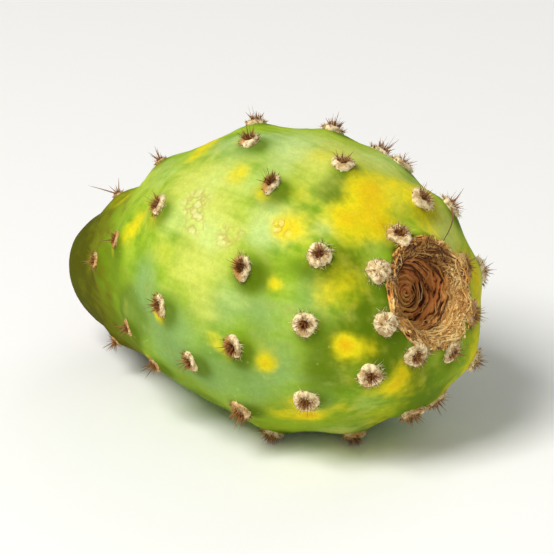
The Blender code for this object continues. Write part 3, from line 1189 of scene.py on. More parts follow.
    def paint(self, masks: dict[str, Array], points: Array, along: Array, azimuths: Array) -> None:
        """Adds the soft patches, painted shade low down, and the darkening towards the stem end, which is
        partly the stem end's own colour and partly painted shade, to the masks.

        Args:
            masks: The masks by name.
            points: Points of the skin.
            along: Their distances.
            azimuths: Their azimuths.
        """
        form = self.form
        draw = random.Random(SEED + 5)
        for patches in self.patches:
            far = [[draw.uniform(*limits) for limits in self.far_ranges] for _ in range(patches.far_count)]
            mask = masks.get(patches.mask, np.zeros(len(points)))
            for azimuth, distance, radius, strength in (*patches.spots, *far):
                place = np.array([form.stem_edge + distance * MM]), np.array([math.radians(azimuth)])
                mask = mask + strength * hump(apart(points, form.bare(*place)[0]), radius * MM)
            masks[patches.mask] = mask
        # Painted shade: the skin is darker towards the bottom of the lying fruit
        masks["deep"] += self.under_shade * (1 - eased(form.laid(points)[:, 2], *self.under_shade_heights))
        reach = self.stem_reach + self.stem_reach_side * np.cos(azimuths - self.stem_side)
        share = (along - form.stem_edge) / reach
        masks["stem"] = self.stem_dark_and_shade * (1 - eased(share, *self.stem_fade))


@dataclass
class FlowerScar:
    """The dished scar: a plug of dry tissue with a crusty rim, a fibrous wall and a coiled floor.

    Gaps are in millimetres, and ranges in millimetres inward from the rim's foot.
    """

    form: FruitForm
    around: int = 320
    top_rings: int = 112
    under_rings: int = 8
    start: float = 2.3 * MM
    thickness: float = 2.6 * MM
    proud: float = 0.18 * MM
    sunk: float = 0.4 * MM
    fibre: float = 0.30 * MM
    lump: float = 0.28 * MM
    weave: float = 0.16 * MM
    weave_gap: float = 0.62
    coil: float = 0.42 * MM
    coil_gap: float = 1.0
    coil_side: float = math.radians(215)
    cleft: float = 0.5 * MM
    # Radius, width and share of the depth of each cleft, the first two in millimetres
    clefts: tuple = ((2.5, 0.35, 1.0), (4.0, 0.28, 0.6))
    cleft_side: float = 0.7
    extra_depth: float = 1.0 * MM
    deepened_from: Range = (4.5, 9.0)
    risen_from: Range = (2.4, 3.3)
    worn_from: Range = (6.0, 9.0)
    floor_from: Range = (7.5, 9.5)
    # Where the inner wall's reddish tint begins, and the side where it is strongest, which is painted
    # shade
    inner_from: Range = (4.6, 8.5)
    inner_shade_side: float = math.radians(225)
    crust_from: Range = (2.0, 3.0)
    crust_until: Range = (4.4, 6.4)
    under_side: float = 0.35

    def surface(self, along: Array, azimuths: Array) -> tuple[Array, Array]:
        """The scar's smooth surface.

        Args:
            along: Distances of its points.
            azimuths: Their azimuths.

        Returns:
            The points and the ways that they face.
        """
        form = self.form
        points = form.bare(along, azimuths)
        points[:, 0] += form.ragged(along, azimuths)
        points[:, 0] -= self.extra_depth * eased((along - form.rim_foot) / MM, *self.deepened_from)
        return points, form.facing(along, azimuths)

    def build(self) -> Piece:
        """Makes the plug.

        Returns:
            The piece.
        """
        form = self.form
        top = np.linspace(form.rim_foot + self.start, form.end, self.top_rings + 1)
        deep = form.bare(np.array([form.end]), np.zeros(1))[0] - np.array((self.thickness, 0, 0))

        def shape(rings: Array, azimuths: Array) -> tuple[Array, dict]:
            """Lays the upper rings on the scar and closes the plug with the lower ones.

            Args:
                rings: The rings that the points are on.
                azimuths: Their azimuths.

            Returns:
                The laid points, and the values that the finish reads by name.
            """
            along = top[np.clip(rings - self.under_rings, 0, None)]
            points, facing = self.surface(along, azimuths)
            lift, values = self.relief(along, azimuths)
            points += facing * lift[:, None]
            share = (rings / self.under_rings)[:, None]
            closed = deep + (points - deep) * np.hstack((share**2.5, share, share))
            return form.laid(np.where(share < 1, closed, points)), values

        return ringed_ball("flower_scar", self.around, self.under_rings + self.top_rings, shape)

    def relief(self, along: Array, azimuths: Array) -> tuple[Array, dict[str, Array]]:
        """The scar's fibres, lumps, coils and clefts.

        Args:
            along: Distances of its points.
            azimuths: Their azimuths.

        Returns:
            How far they stand off the smooth surface, and the values that the finish reads.
        """
        form = self.form
        inward = (along - form.rim_foot) / MM
        radius = form.at(along)[1] / MM
        ring = np.stack((radius * np.cos(azimuths), radius * np.sin(azimuths), inward), axis=1)
        strands = roughness_at(ring * np.array((0.5, 0.5, 2.4)), 1.0, 4, 3)
        lumps = roughness_at(ring, 2.0, 3, 9)
        wobble = roughness_at(ring, 3.0, 2, 14)
        risen = eased(inward + 0.7 * wobble + 0.5 * lumps, *self.risen_from)
        rim = risen * (1 - 0.45 * eased(inward, *self.worn_from))
        floor = eased(inward, *self.floor_from)
        weave = np.sin(TURN * (inward / self.weave_gap + 1.6 * wobble + azimuths / math.pi)) * (1 - floor)
        turns = inward / self.coil_gap + azimuths / TURN + 0.6 * wobble + 0.35 * lumps
        broken = 0.65 + 0.35 * np.cos(azimuths - self.coil_side) + 0.5 * lumps
        coil = (2 * np.abs(np.sin(math.pi * turns)) - 1.1) * broken * floor
        cleft = sum(share * hump(radius - at - 0.3 * wobble, width) for at, width, share in self.clefts)
        # The clefts are deepest on one side of the floor; their darkening of the tone is painted shade
        cleft *= eased(np.cos(azimuths + self.cleft_side), 0.1, 0.9)
        lift = rim * (self.fibre * strands + self.lump * lumps + self.weave * weave)
        lift += self.coil * coil - self.cleft * cleft
        lift *= 1 - 0.8 * (1 - eased(radius, 0, 1.0))
        # The tone follows the relief: pale on ridges, dark in furrows and clefts, which is painted shade
        tone = 0.46 + 0.42 * strands * rim + 0.26 * weave + 0.50 * coil
        # The crust reaches further in and is brighter on the lower side: real crust with painted light
        # there
        lower = np.sin(self.under_side - azimuths)
        crusty = 1 - eased(inward - 1.6 * np.clip(lower, 0, 1), *self.crust_until)
        crusty *= eased(inward, *self.crust_from)
        # The inner tint is the wall's own reddish tone, stronger on one side as painted shade
        inner = 0.85 - 0.45 * np.cos(azimuths - self.inner_shade_side)
        values = {
            "ridge": np.clip(tone + 0.2 * lumps - 0.6 * cleft, 0, 1),
            "inward": eased(inward, *self.inner_from) * inner,
            "crust": crusty * (0.50 + 0.5 * lumps + 0.42 * lower),
        }
        return (self.proud + lift) * risen - self.sunk * (1 - risen), values


@dataclass
class StemScar:
    """The dry cut end at the stem: a dished plug with rays and a woody ring."""

    form: FruitForm
    around: int = 160
    top_rings: int = 44
    under_rings: int = 5
    thickness: float = 2.2 * MM
    overlap: float = 0.9 * MM
    clear_of_ground: float = 0.05 * MM
    relief_height: float = 0.22 * MM
    edge_height: float = 0.28 * MM
    proud: float = 0.12 * MM
    sunk: float = 0.3 * MM
    ring_at: float = 0.55
    edge_at: float = 0.93

    def build(self) -> Piece:
        """Makes the plug.

        Returns:
            The piece.
        """
        form = self.form
        outer = np.linspace(0, form.stem_edge + self.overlap, self.top_rings + 1)
        deep = form.bare(np.zeros(1), np.zeros(1))[0] + np.array((self.thickness, 0, 0))

        def shape(rings: Array, azimuths: Array) -> tuple[Array, dict]:
            """Lays the outer rings on the stem's end and closes the plug with the inner ones.

            Args:
                rings: The rings that the points are on.
                azimuths: Their azimuths.

            Returns:
                The laid points, and the values that the finish reads by name.
            """
            along = outer[np.clip(rings, 0, self.top_rings)]
            lift, values = self.relief(along, azimuths)
            points = form.bare(along, azimuths) + form.facing(along, azimuths) * lift[:, None]
            share = (1 - np.clip(rings - self.top_rings, 0, None) / self.under_rings)[:, None]
            laid = form.laid(deep + (points - deep) * share)
            laid[:, 2] = np.maximum(laid[:, 2], self.clear_of_ground)
            return laid, values

        return ringed_ball("stem_scar", self.around, self.top_rings + self.under_rings, shape)

    def relief(self, along: Array, azimuths: Array) -> tuple[Array, dict[str, Array]]:
        """The scar's rays, woody ring and raised edge.

        Args:
            along: Distances of its points.
            azimuths: Their azimuths.

        Returns:
            How far they stand off the smooth surface, and the values that the finish reads.
        """
        form = self.form
        radius = form.at(along)[1] / MM
        flat = np.stack((radius * np.cos(azimuths), radius * np.sin(azimuths), 0 * radius), axis=1)
        polar = np.stack((np.cos(azimuths) * 5, np.sin(azimuths) * 5, radius * 0.35), axis=1)
        rays = roughness_at(polar, 0.7, 3, 4)
        grain = roughness_at(flat, 1.6, 3, 8)
        share = radius / radius.max()
        ring = hump(share - self.ring_at - 0.04 * grain, 0.07)
        edge = hump(share - self.edge_at, 0.06)
        past = eased((along - form.stem_edge) / MM, -0.5, 0.8)
        lift = self.relief_height * (0.7 * rays * eased(share, 0.05, 0.3) + 0.8 * ring + 0.6 * grain)
        lift += self.edge_height * edge * (1 + 0.5 * grain)
        # Pale where the relief is raised and dark where it is low, which is painted shade
        values = {
            "ridge": np.clip(0.45 + 0.35 * rays + 0.35 * ring + 0.25 * grain, 0, 1),
            "inward": 0.8 * (1 - share),
            "crust": edge * (0.4 + 0.4 * grain),
        }
        return (self.proud + lift) * (1 - past) - self.sunk * past, values


@dataclass(frozen=True)
class Strand:
    """A kind of dry strand, in millimetres: how far inward, long, thick, sloped, wavy and high it is.

    The slope is the spread of how far inward a strand runs, and curled the share whose end lifts.
    """

    count: int
    inward: Range
    length: Range
    radius: Range
    slope: float
    wave: Range
    height: Range
    curled: float


@dataclass
class Nest:
    """Dry strands and crumbs left on the flower scar by the fallen flower, with sizes in millimetres."""

    form: FruitForm
    scar: FlowerScar
    kinds: tuple[Strand, ...] = (
        Strand(220, (3.2, 6.8), (5.0, 13.0), (0.07, 0.16), 0.50, (0.08, 0.30), (0.10, 0.50), 0.1),
        Strand(60, (6.4, 12.4), (3.0, 8.0), (0.06, 0.12), 0.30, (0.05, 0.20), (0.05, 0.25), 0.0),
        Strand(420, (3.0, 6.0), (1.2, 3.8), (0.04, 0.085), 1.0, (0.15, 0.55), (0.15, 0.60), 0.4),
    )
    longest_sweep: float = 4.0
    across: Range = (2.5, 13.4)
    curl: Range = (0.2, 1.0)
    lift: float = 0.22
    floor_from: float = 6.5
    crumbs: int = 150
    # Azimuth and spread of each heap of crumbs, in degrees, and the share of the crumbs in them
    crumb_heaps: tuple = ((275, 40), (290, 30), (95, 22))
    heaped: float = 0.75
    crumb_inward: Range = (2.5, 5.0)
    crumb_sizes: tuple = ((0.16, 0.45), (0.12, 0.36), (0.08, 0.22))
    crumb_height: Range = (0.2, 0.8)
    pale_crumbs: float = 0.6

    def build(self) -> list[Piece]:
        """Makes the strands and the crumbs.

        Returns:
            The two pieces.
        """
        draw = random.Random(SEED + 2)
        rod = make_rod("strand_master", 4, 10)
        made = [self.strand(rod, draw, kind) for kind in self.kinds for _ in range(kind.count)]
        strands = joined("scar_strands", made)
        flake = self.flake()
        crumbs = joined("scar_crumbs", [self.crumb(flake, draw) for _ in range(self.crumbs)])
        removed(rod, flake)
        return [smoothed(strands), smoothed(crumbs)]

    def strand(self, rod: Piece, draw: random.Random, kind: Strand) -> Piece:
        """One strand, lying mostly round the rim.

        Args:
            rod: The master rod.
            draw: The random draw.
            kind: The kind of strand.

        Returns:
            The strand.
        """
        form = self.form
        start = draw.uniform(0, TURN)
        inward = draw.uniform(*kind.inward)
        foot = np.array([form.rim_foot + inward * MM])
        radius = max(form.at(foot)[1][0], 1.2 * MM)
        length = draw.uniform(*kind.length) * MM
        sweep = min(length / radius, self.longest_sweep) * draw.choice((-1, 1))
        slope = draw.gauss(0, kind.slope)
        wave, beats, phase = draw.uniform(*kind.wave), draw.uniform(1, 3), draw.uniform(0, 6.3)
        height = draw.uniform(*kind.height)
        curl = draw.uniform(*self.curl) if draw.random() < kind.curled else 0.0
        thickness = draw.uniform(*kind.radius) * MM

        def line(share: Array) -> Array:
            """The strand's middle line.

            Args:
                share: Shares of its length.

            Returns:
                The points there.
            """
            bend = wave * np.sin(beats * TURN * share + phase)
            across = np.clip(inward + slope * (share - 0.5) + bend, *self.across)
            lift = height * np.sin(math.pi * np.clip(share, 0, 1)) + curl * share**3 + self.lift
            points, facing = self.scar.surface(form.rim_foot + across * MM, start + sweep * share)
            return form.laid(points + facing * lift[:, None] * MM)

        def thick(share: Array) -> Array:
            """The strand's radius, finest at its ends."""
            return thickness * (0.3 + 0.7 * np.sin(math.pi * np.clip(share, 0, 1)))

        up = form.facing(foot, np.array([start]))[0] @ form.turn.T
        shade = draw.random()
        # Strands on the lower side are paler, painted light, and those on the pit's floor darker, painted
        # shade
        lit = 0.3 * math.sin(self.scar.under_side - start - sweep / 2)
        tip = 1.1 * draw.random() - 0.35 * (inward > self.floor_from) + lit
        return swept(rod, line, up, thick, {"shade": shade, "tip": tip})

    def flake(self) -> Piece:
        """Makes the crumbs' master, a cube with its edges cut off.

        Returns:
            The master.
        """
        deselect()
        bpy.ops.mesh.primitive_cube_add(size=1.5)
        bpy.ops.object.mode_set(mode="EDIT")
        bpy.ops.mesh.select_all(action="SELECT")
        bpy.ops.mesh.bevel(offset=0.4, segments=1, affect="EDGES")
        bpy.ops.object.mode_set(mode="OBJECT")
        return bpy.context.object

    def crumb(self, flake: Piece, draw: random.Random) -> Piece:
        """One crumb of crust on the rim.

        Args:
            flake: The master.
            draw: The random draw.

        Returns:
            The crumb.
        """
        form = self.form
        azimuth = draw.uniform(0, TURN)
        if draw.random() < self.heaped:
            azimuth = math.radians(draw.gauss(*draw.choice(self.crumb_heaps)))
        along = np.array([form.rim_foot + draw.uniform(*self.crumb_inward) * MM])
        size = np.array([draw.uniform(*sizes) for sizes in self.crumb_sizes]) * MM
        turn = Matrix.Rotation(draw.uniform(0, 6.3), 3, "Z")
        points, facing = self.scar.surface(along, np.array([azimuth]))
        aim = Vector(facing[0]).to_track_quat("Z", "Y").to_matrix() @ turn
        base = read_points(flake)
        base = base * (1 + 0.4 * roughness_at(base, 0.9, 2, azimuth * 7)[:, None])
        foot = points[0] + facing[0] * draw.uniform(*self.crumb_height) * MM
        pale = draw.random() < self.pale_crumbs
        tip = draw.uniform(0.6, 1.2) if pale else draw.uniform(0, 0.5)
        points = form.laid((base * size) @ np.array(aim).T + foot)
        return copied(flake, points, {"tip": tip, "shade": draw.random()})


@dataclass(frozen=True)
class Fluff:
    """How one kind of wool is puffed up, in millimetres, and how many glochids stand in it."""

    # The insets of the cushion's top, each with how far it then rises
    steps: tuple
    # How pale its wool is before its lumps and grooves add painted shade
    puff: float
    hairs_from: float
    hair_puff: Range
    glochids: int
    glochid_foot: float


FLUFF = {
    Wool.RING: Fluff(((0.60, 0.28), (0.46, -0.06), (0.22, -0.40)), 0.5, 1.0, (0.3, 1.1), 76, 0.1),
    Wool.CLUMP: Fluff(((0.45, 0.6), (0.6, 0.3)), 0.36, 0.1, (0.2, 1.0), 15, 0.8),
}


@dataclass
class Areoles:
    """Wool cushions, each with a tuft of glochids in its heart. Masters are in millimetres."""

    form: FruitForm
    growth: Growth
    variants: int = 5
    radius: float = 2.05
    depth: float = 1.3
    sunk: float = 0.15
    sides: int = 10
    crest_radius: float = 1.4
    crest_height: float = 0.68
    clump_radius: float = 2.2
    clump_height: float = 1.15
    hairs: int = 150
    hair_length: Range = (0.4, 0.85)
    hair_radius: Range = (0.025, 0.055)
    stars: int = 6
    star_length: Range = (1.3, 1.8)
    fringe: int = 12
    fringe_radius: Range = (1.7, 2.0)
    fringe_lean: Range = (1.2, 3.5)
    glochid_length: Range = (0.6, 1.2)
    long_glochid_length: Range = (1.3, 2.2)
    star_thickness: float = 0.12
    glochid_thickness: float = 0.07
    clump_scale: float = 0.98
    clump_azimuths: tuple = (145, 190)
    sizes: Range = (0.94, 1.08)
    heights: Range = (0.85, 1.1)
    worn_from: Range = (38 * MM, 66 * MM)
    spin: float = 0.8
    old_width: Range = (0.56, 0.82)
    young_width: Range = (0.92, 1.05)
    young_from: float = 73 * MM
    old_glochids: float = 1.7
    young_glochids: float = 1.2
    low_heights: Range = (6 * MM, 16 * MM)
    clear_of_ground: float = 0.03 * MM

    def cushion(self, kind: Wool, variant: int) -> Piece:
        """One master cushion: a puffed ring round a hollow heart, or a rounded clump.

        Args:
            kind: How the wool has grown.
            variant: Which of the masters it is.

        Returns:
            The master.
        """
        ring = kind is Wool.RING
        deselect()
        bpy.ops.mesh.primitive_cylinder_add(
            vertices=self.sides, radius=self.radius, depth=self.depth, location=(0, 0, -self.sunk)
        )
        body = bpy.context.object
        bpy.ops.object.transform_apply(location=True, rotation=False, scale=False)
        pick(body, Picked.FACE, lambda face: face.normal.z > 0.9)
        for inset, rise in FLUFF[kind].steps:
            bpy.ops.mesh.inset(thickness=inset)
            bpy.ops.transform.translate(value=(0, 0, rise))
        bpy.ops.object.mode_set(mode="OBJECT")
        smooth = body.modifiers.new("soft", "SUBSURF")
        smooth.levels = smooth.render_levels = 2
        bpy.ops.object.modifier_apply(modifier=smooth.name)
        points = read_points(body)
        radius = np.linalg.norm(points[:, :2], axis=1)
        azimuths = np.arctan2(points[:, 1], points[:, 0])
        lumps = roughness_at(points, 0.9, 3, 3 * variant + 1)
        lean = 1 + 0.08 * np.sin(azimuths + variant) + 0.06 * np.sin(3 * azimuths + 2 * variant)
        grooves = 0.035 * np.sin(11 * azimuths + 3 * lumps)
        points *= (1 + 0.11 * lumps + grooves)[:, None]
        points[:, :2] *= lean[:, None]
        slump = 0.28 * eased(np.sin(azimuths + 0.2 * variant), -0.4, 1) * (radius > 0.9)
        points[:, 2] -= ring * slump
        write_points(body, points)
        heart = ring * (1 - eased(radius, 0.45, 0.90)) * eased(points[:, 2], -0.2, 0.1)
        # The puff value is painted shade: lower in the grooves and between the lumps
        write_values(body, {"heart": heart, "puff": FLUFF[kind].puff + 0.9 * lumps + 4 * grooves})
        return smoothed(body)

    def fleece(self, kind: Wool, variant: int) -> Piece:
        """One master fleece of curled hairs over a cushion.

        Args:
            kind: How the wool has grown.
            variant: Which of the masters it is.

        Returns:
            The master.
        """
        draw = random.Random(SEED + 10 + variant)
        rod = make_rod("hair_master", 3, 3)
        hairs = [self.hair(rod, draw, kind) for _ in range(self.hairs)]
        removed(rod)
        return smoothed(joined(f"fleece_master_{variant}", hairs))

    def hair(self, rod: Piece, draw: random.Random, kind: Wool) -> Piece:
        """One curled woolly hair on the cushion.

        Args:
            rod: The master rod.
            draw: The random draw.
            kind: How the wool has grown.

        Returns:
            The hair.
        """
        azimuth = draw.uniform(0, TURN)
        radius = draw.uniform(FLUFF[kind].hairs_from, self.radius)
        if kind is Wool.RING:
            height = self.crest_height - max(0, radius - self.crest_radius) ** 1.5
            lean = (radius - self.crest_radius) * 1.3
        else:
            height = self.clump_height * math.sqrt(max(0, 1 - (radius / self.clump_radius) ** 2))
            lean = radius * 0.6
        out = Vector((math.cos(azimuth), math.sin(azimuth), 0))
        root = np.array(out * radius + Vector((0, 0, height - self.sunk)))
        swirl = draw.uniform(-1.2, 1.2)
        aim = np.array((out * lean + Vector((0, 0, 0.45)) + out.orthogonal() * swirl).normalized())
        bend = np.array([draw.uniform(-0.35, 0.35) for _ in range(3)]) - np.array((0, 0, 0.2))
        length = draw.uniform(*self.hair_length)
        thickness = draw.uniform(*self.hair_radius)

        def line(share: Array) -> Array:
            """The hair's middle line."""
            share = share[:, None]
            return root + aim * length * share + bend * share**2

        values = {"heart": 0, "puff": draw.uniform(*FLUFF[kind].hair_puff)}
        return swept(rod, line, np.array(out), tapered(thickness, 0.8), values)

    def tuft(self, kind: Wool, variant: int) -> Piece:
        """One master tuft: a star of stout glochids, finer ones, and short ones round the cushion.

        Args:
            kind: How the wool has grown.
            variant: Which of the masters it is.

        Returns:
            The master.
        """
        draw = random.Random(SEED + 30 + variant)
        deselect()
        bpy.ops.mesh.primitive_cone_add(vertices=3, radius1=1, radius2=0.15, depth=1, location=(0, 0, 0.5))
        bpy.ops.object.transform_apply(location=True, rotation=False, scale=False)
        cone = bpy.context.object
        base = read_points(cone)
        inner = self.stars + FLUFF[kind].glochids
        parts = []
        for number in range(inner + self.fringe):
            star, fringe = number < self.stars, number >= inner
            azimuth = draw.uniform(0, TURN)
            if fringe:
                radius, lean = draw.uniform(*self.fringe_radius), draw.uniform(*self.fringe_lean)
            else:
                radius = 0.8 * math.sqrt(draw.random())
                lean = radius * draw.uniform(0.2, 2.2) + draw.gauss(0, 0.2)
            if star:
                azimuth = TURN * (number + draw.uniform(-0.25, 0.25)) / self.stars
                radius, lean = 0.25, draw.uniform(0.9, 1.9)
            out = Vector((math.cos(azimuth), math.sin(azimuth), 0))
            aim = (Vector((0, 0, 1)) + out * lean).to_track_quat("Z", "Y").to_matrix()
            long = draw.random() >= 0.92
            length = draw.uniform(*(self.long_glochid_length if long else self.glochid_length))
            length = draw.uniform(*self.star_length) if star else length * (0.6 if fringe else 1)
            foot = out * radius
            foot.z = FLUFF[Wool.RING if fringe else kind].glochid_foot
            thickness = self.star_thickness if star else self.glochid_thickness
            size = np.array((thickness, thickness, length))
            points = (base * size) @ np.array(aim).T + np.array(foot)
            parts.append(copied(cone, points, {"tip": base[:, 2], "shade": draw.random()}))
        removed(cone)
        return joined(f"tuft_master_{variant}", parts)

    def build(self) -> list[Piece]:
        """Makes the wool, its fleece and the glochids.

        Returns:
            The three pieces.
        """
        made = []
        makers = {
            "areole_wool": self.cushion,
            "areole_fleece": self.fleece,
            "areole_glochids": self.tuft,
        }
        for name, maker in makers.items():
            masters = {kind: [maker(kind, variant) for variant in range(self.variants)] for kind in Wool}
            draw = random.Random(SEED + 3)
            bristly = maker == self.tuft
            copies = [self.set_down(areole, masters, draw, bristly) for areole in self.growth.cushions]
            made.append(joined(name, copies))
            for group in masters.values():
                removed(*group)
        return made

    def kind_of(self, areole: Areole) -> Wool:
        """How the areole's wool has grown."""
        near = any(abs(math.degrees(areole.azimuth) % 360 - clump) < 1 for clump in self.clump_azimuths)
        return Wool.CLUMP if near and areole.distance > self.form.rim_foot else Wool.RING

    def set_down(self, areole: Areole, masters: dict, draw: random.Random, bristly: bool) -> Piece:
        """A copy of a master set on its areole.

        Args:
            areole: The areole.
            masters: The masters to choose from.
            draw: The random draw.
            bristly: Whether they are tufts of glochids, which stand taller than the wool.

        Returns:
            The copy.
        """
        form = self.form
        kind = self.kind_of(areole)
        master = masters[kind][draw.randrange(self.variants)]
        worn = 1 - eased(areole.distance, *self.worn_from)
        size = areole.size * draw.uniform(*self.sizes) * (1.08 - 0.26 * worn)
        size *= self.clump_scale if kind is Wool.CLUMP else 1
        tall = size * draw.uniform(*self.heights) * (1 - 0.35 * worn)
        young = areole.distance > self.young_from
        if bristly:
            tall *= self.young_glochids if young else self.old_glochids
        wide = size * draw.uniform(*(self.young_width if young else self.old_width))
        spin = Matrix.Rotation(draw.uniform(-self.spin, self.spin) * (1.0 if young else 0.4), 3, "Z")
        lengthwise = np.array((1, 0, 0)) - areole.facing * areole.facing[0]
        lengthwise /= np.linalg.norm(lengthwise)
        aim = np.stack((lengthwise, np.cross(areole.facing, lengthwise), areole.facing), axis=1)
        points = (read_points(master) @ np.array(spin).T) * np.array((wide, size, tall)) * MM
        laid = form.laid(points @ aim.T + areole.top)
        # Areoles low on the fruit get more of the tan, more towards the bottom
        low = 1 - eased(laid[0, 2], *self.low_heights)
        beyond = areole.distance > form.rim_foot and math.cos(areole.azimuth) > 0.3
        aged = draw.uniform(0.0, 0.35) + max(worn, 0.8 * low, 0.8 * beyond) * draw.uniform(0.5, 0.9)
        aged += eased(-points[:, 0] / (wide * MM), -0.6, 1.0) * (0.2 if young else 1.3)
        laid[:, 2] = np.maximum(laid[:, 2], self.clear_of_ground)
        return copied(master, laid, {"aged": aged})


@dataclass
class Spines:
    """The longer spines, in the same places as on the solid, with finer bristles between them.

    The whisker arches from the areole nearest its first place, in degrees and millimetres, to over
    its second.
    """

    form: FruitForm
    growth: Growth
    root_radius: float = 0.14 * MM
    bend: float = 0.06
    bristle_radius: float = 0.085 * MM
    bristle_length: Range = (1.5 * MM, 3.2 * MM)
    bristle_lean: Range = (15, 65)
    bristles_each: int = 2
    hidden_bristles_each: int = 6
    low_height: float = 15 * MM
    beyond_rim: float = 12 * MM
    whisker: tuple = ((31, 77), (52, 87.0))
    whisker_radius: float = 0.2 * MM
    whisker_lift: float = 1.0 * MM
    whisker_arch: float = 1.3 * MM

    def build(self) -> Piece:
        """Makes the spines.

        Returns:
            The piece.
        """
        draw = random.Random(SEED + 4)
        rod = make_rod("spine_master", 5, 6)
        parts = [self.spine(rod, draw, self.root_radius, spine) for spine in self.growth.spines]
        parts += [self.spine(rod, draw, self.bristle_radius, spine) for spine in self.bristles(draw)]
        parts.append(self.long_whisker(rod))
        removed(rod)
        return smoothed(joined("areole_spines", parts))

    def bristles(self, draw: random.Random) -> Iterator[Spine]:
        """Grows the bristles: most on the areoles low down or beyond the rim.

        Args:
            draw: The random draw.

        Returns:
            One bristle after another.
        """
        far_from = self.form.rim_foot - self.beyond_rim
        for areole in self.growth.cushions:
            low = self.form.laid(areole.foot[None])[0, 2] < self.low_height
            beyond = areole.distance > far_from and math.cos(areole.azimuth) > 0.2
            for _ in range(self.hidden_bristles_each if low or beyond else self.bristles_each):
                around, lean = draw.uniform(0, 6.3), draw.uniform(*self.bristle_lean)
                direction = np.array(leaning(Vector(areole.facing), around, lean))
                length = draw.uniform(*self.bristle_length)
                tip = areole.top + direction * length
                where = self.form.laid(tip[None])[0]
                if self.growth.clear(tip) and np.all(where > CAD_BOX[0]) and np.all(where < CAD_BOX[1]):
                    yield Spine(areole, direction, length)

    def spine(self, rod: Piece, draw: random.Random, root: float, spine: Spine) -> Piece:
        """Shapes one spine.

        Args:
            rod: The master rod.
            draw: The random draw.
            root: Its radius at the root.
            spine: Where and how it grows.

        Returns:
            The spine.
        """
        bend = np.array([draw.uniform(-1, 1) for _ in range(3)]) * self.bend * spine.length
        line = self.form.bowed(spine.areole.top, spine.direction * spine.length, bend)
        up = np.array(Vector(spine.direction).orthogonal()) @ self.form.turn.T
        return swept(rod, line, up, tapered(root, 0.93, 1.3), {"shade": draw.random()})

    def long_whisker(self, rod: Piece) -> Piece:
        """The one long bristle that arches over the skin towards the flower scar.

        Args:
            rod: The master rod.

        Returns:
            The whisker.
        """
        form = self.form
        azimuths, distances = np.array(self.whisker).T
        place = distances * MM + form.stem_edge, np.radians(azimuths)
        start, end = form.bare(*place)
        facing = form.facing(*place)
        areole = min(self.growth.cushions, key=lambda grown: np.linalg.norm(grown.foot - start))
        reach = end + facing[1] * self.whisker_lift - areole.top
        arch = facing.mean(axis=0) * 4 * self.whisker_arch
        line = form.bowed(areole.top, reach, arch)
        return swept(rod, line, arch @ form.turn.T, tapered(self.whisker_radius, 0.7), {"shade": 1.0})


@dataclass(frozen=True)
class Lamp:
    """A square soft light, with its width in metres, its power in watts and its colour.

    Its place is how far right of the fruit, behind it and above it the light is, as the camera sees.
    """

    name: str
    place: tuple
    width: float
    power: float
    colour: Colour


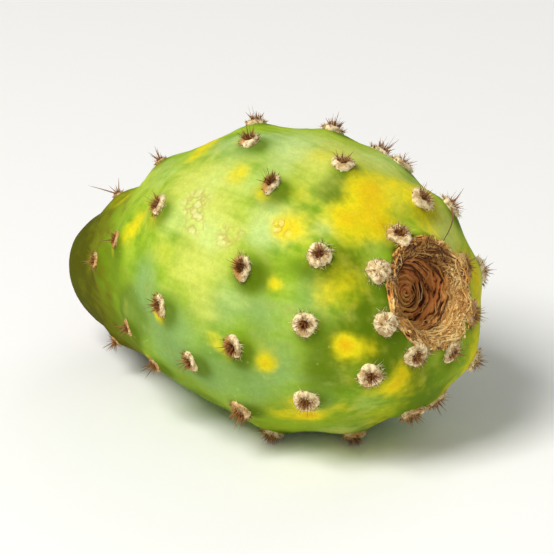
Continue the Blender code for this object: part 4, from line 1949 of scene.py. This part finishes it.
@dataclass
class Studio:
    """A plain pale floor, soft light and a camera at the photograph's viewing angle."""

    azimuth: float = 43.6
    elevation: float = 22.7
    distance: float = 0.60
    frame_width: float = 0.094
    aim: tuple = (0.0001, 0.0026, 0.0213)
    floor_size: float = 6.0
    floor_drop: float = 0.02 * MM
    floor_colour: Colour = (0.97, 0.97, 0.965)
    floor_roughness: float = 0.9
    surround: float = 0.24
    clip_start: float = 0.01
    lamps: tuple[Lamp, ...] = (
        Lamp("key_light", (-0.42, -0.38, 0.75), 0.42, 8.4, (1.0, 0.98, 0.94)),
        Lamp("fill_light", (0.15, -0.85, 0.25), 0.7, 0.6, (0.95, 0.98, 1.0)),
        Lamp("back_light", (0.35, 0.55, 0.45), 0.5, 1.0, (1.0, 1.0, 0.98)),
    )

    def build(self) -> None:
        """Makes the floor, the world, the lights and the camera."""
        self.floor()
        self.world()
        for lamp in self.lamps:
            self.light(lamp)
        self.camera()

    def basis(self) -> tuple[Vector, Vector, Vector]:
        """Works out how the camera is held.

        Returns:
            Its right, up and backward ways.
        """
        around, above = math.radians(self.azimuth), math.radians(self.elevation)
        right = Vector((math.cos(around), math.sin(around), 0))
        level = Vector((math.sin(around), -math.cos(around), 0))
        back = level * math.cos(above) + Vector((0, 0, math.sin(above)))
        return right, back.cross(right), back

    def floor(self) -> None:
        """A plain pale floor just under the fruit."""
        deselect()
        bpy.ops.mesh.primitive_plane_add(size=self.floor_size, location=(0, 0, -self.floor_drop))
        floor = bpy.context.object
        floor.name = "floor"
        constants = {"Base Color": (*self.floor_colour, 1), "Roughness": self.floor_roughness}
        floor.data.materials.append(Graph("pale_floor").finish(constants, {}))

    def world(self) -> None:
        """An even pale surround, shown without a film look."""
        scene = bpy.context.scene
        scene.world = scene.world or bpy.data.worlds.new("studio")
        scene.world.use_nodes = True
        background = scene.world.node_tree.nodes["Background"]
        background.inputs["Color"].default_value = (1, 1, 1, 1)
        background.inputs["Strength"].default_value = self.surround
        scene.view_settings.view_transform = "Standard"
        scene.view_settings.look = "None"

    def light(self, lamp: Lamp) -> None:
        """Places a light, aimed at the fruit.

        Args:
            lamp: The light.
        """
        aim = Vector(self.aim)
        right, _, back = self.basis()
        level = Vector((back.x, back.y, 0)).normalized()
        spot = aim + right * lamp.place[0] - level * lamp.place[1] + Vector((0, 0, lamp.place[2]))
        deselect()
        bpy.ops.object.light_add(type="AREA", location=spot)
        made = bpy.context.object
        made.name = lamp.name
        made.data.size = lamp.width
        made.data.energy = lamp.power
        made.data.color = lamp.colour
        made.rotation_euler = (spot - aim).to_track_quat("Z", "Y").to_euler()

    def camera(self) -> None:
        """Places the camera, which sees the fruit as the photograph does."""
        right, up, back = self.basis()
        deselect()
        bpy.ops.object.camera_add(location=Vector(self.aim) + back * self.distance)
        camera = bpy.context.object
        camera.rotation_euler = Matrix((right, up, back)).transposed().to_euler()
        camera.data.lens = camera.data.sensor_width * self.distance / self.frame_width
        camera.data.clip_start = self.clip_start
        bpy.context.scene.camera = camera


SCAR_TISSUE = ScarFinish(
    "flower_scar_tissue",
    dark=(0.070, 0.019, 0.006),
    middle=(0.78, 0.35, 0.068),
    pale=(0.97, 0.68, 0.21),
    crust=(0.98, 0.78, 0.36),
    inner=(0.66, 0.20, 0.060),
)
STEM_TISSUE = ScarFinish(
    "stem_scar_tissue",
    dark=(0.035, 0.020, 0.008),
    middle=(0.17, 0.095, 0.035),
    pale=(0.42, 0.27, 0.12),
    crust=(0.26, 0.17, 0.08),
    inner=(0.16, 0.09, 0.04),
)
GLOCHID = BristleFinish("glochid", (0.050, 0.013, 0.004), (0.26, 0.075, 0.016), (0.72, 0.40, 0.095), 0.45)
SPINE = BristleFinish("spine", (0.34, 0.15, 0.045), (0.36, 0.17, 0.050), (0.12, 0.040, 0.014), 0.4)
STRAND = BristleFinish("dry_strand", (0.15, 0.046, 0.012), (0.76, 0.37, 0.075), (0.98, 0.74, 0.30), 0.65)


def hand_over(piece: Piece, material: Material) -> None:
    """Gives a finished piece its material and its body, and reports it.

    Args:
        piece: The piece.
        material: Its material.
    """
    piece.data.materials.clear()
    piece.data.materials.append(material)
    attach(piece, BODY)
    points = read_points(piece) / MM
    box = points.min(axis=0).round(1), points.max(axis=0).round(1)
    log.info("%s: %d faces, from %s to %s mm", piece.name, len(piece.data.polygons), *box)


def main() -> None:
    """Builds every piece in order, then the studio."""
    form = FruitForm()
    growth = Growth(form)
    counts = [len(grown) for grown in (growth.areoles, growth.cushions, growth.spines)]
    log.info("%d areoles, %d cushions, %d spines", *counts)
    skin = FruitSkin(form, growth).build()
    hand_over(skin, SkinFinish(form.section_tilt).material())
    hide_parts(NODE)
    scar = FlowerScar(form)
    hand_over(scar.build(), SCAR_TISSUE.material())
    hand_over(StemScar(form).build(), STEM_TISSUE.material())
    strand = STRAND.material()
    for piece in Nest(form, scar).build():
        hand_over(piece, strand)
    wool, fleece, glochids = Areoles(form, growth).build()
    woolly = WoolFinish().material()
    hand_over(wool, woolly)
    hand_over(fleece, woolly)
    hand_over(glochids, GLOCHID.material())
    hand_over(Spines(form, growth).build(), SPINE.material())
    Studio().build()


if __name__ == "__main__":
    main()
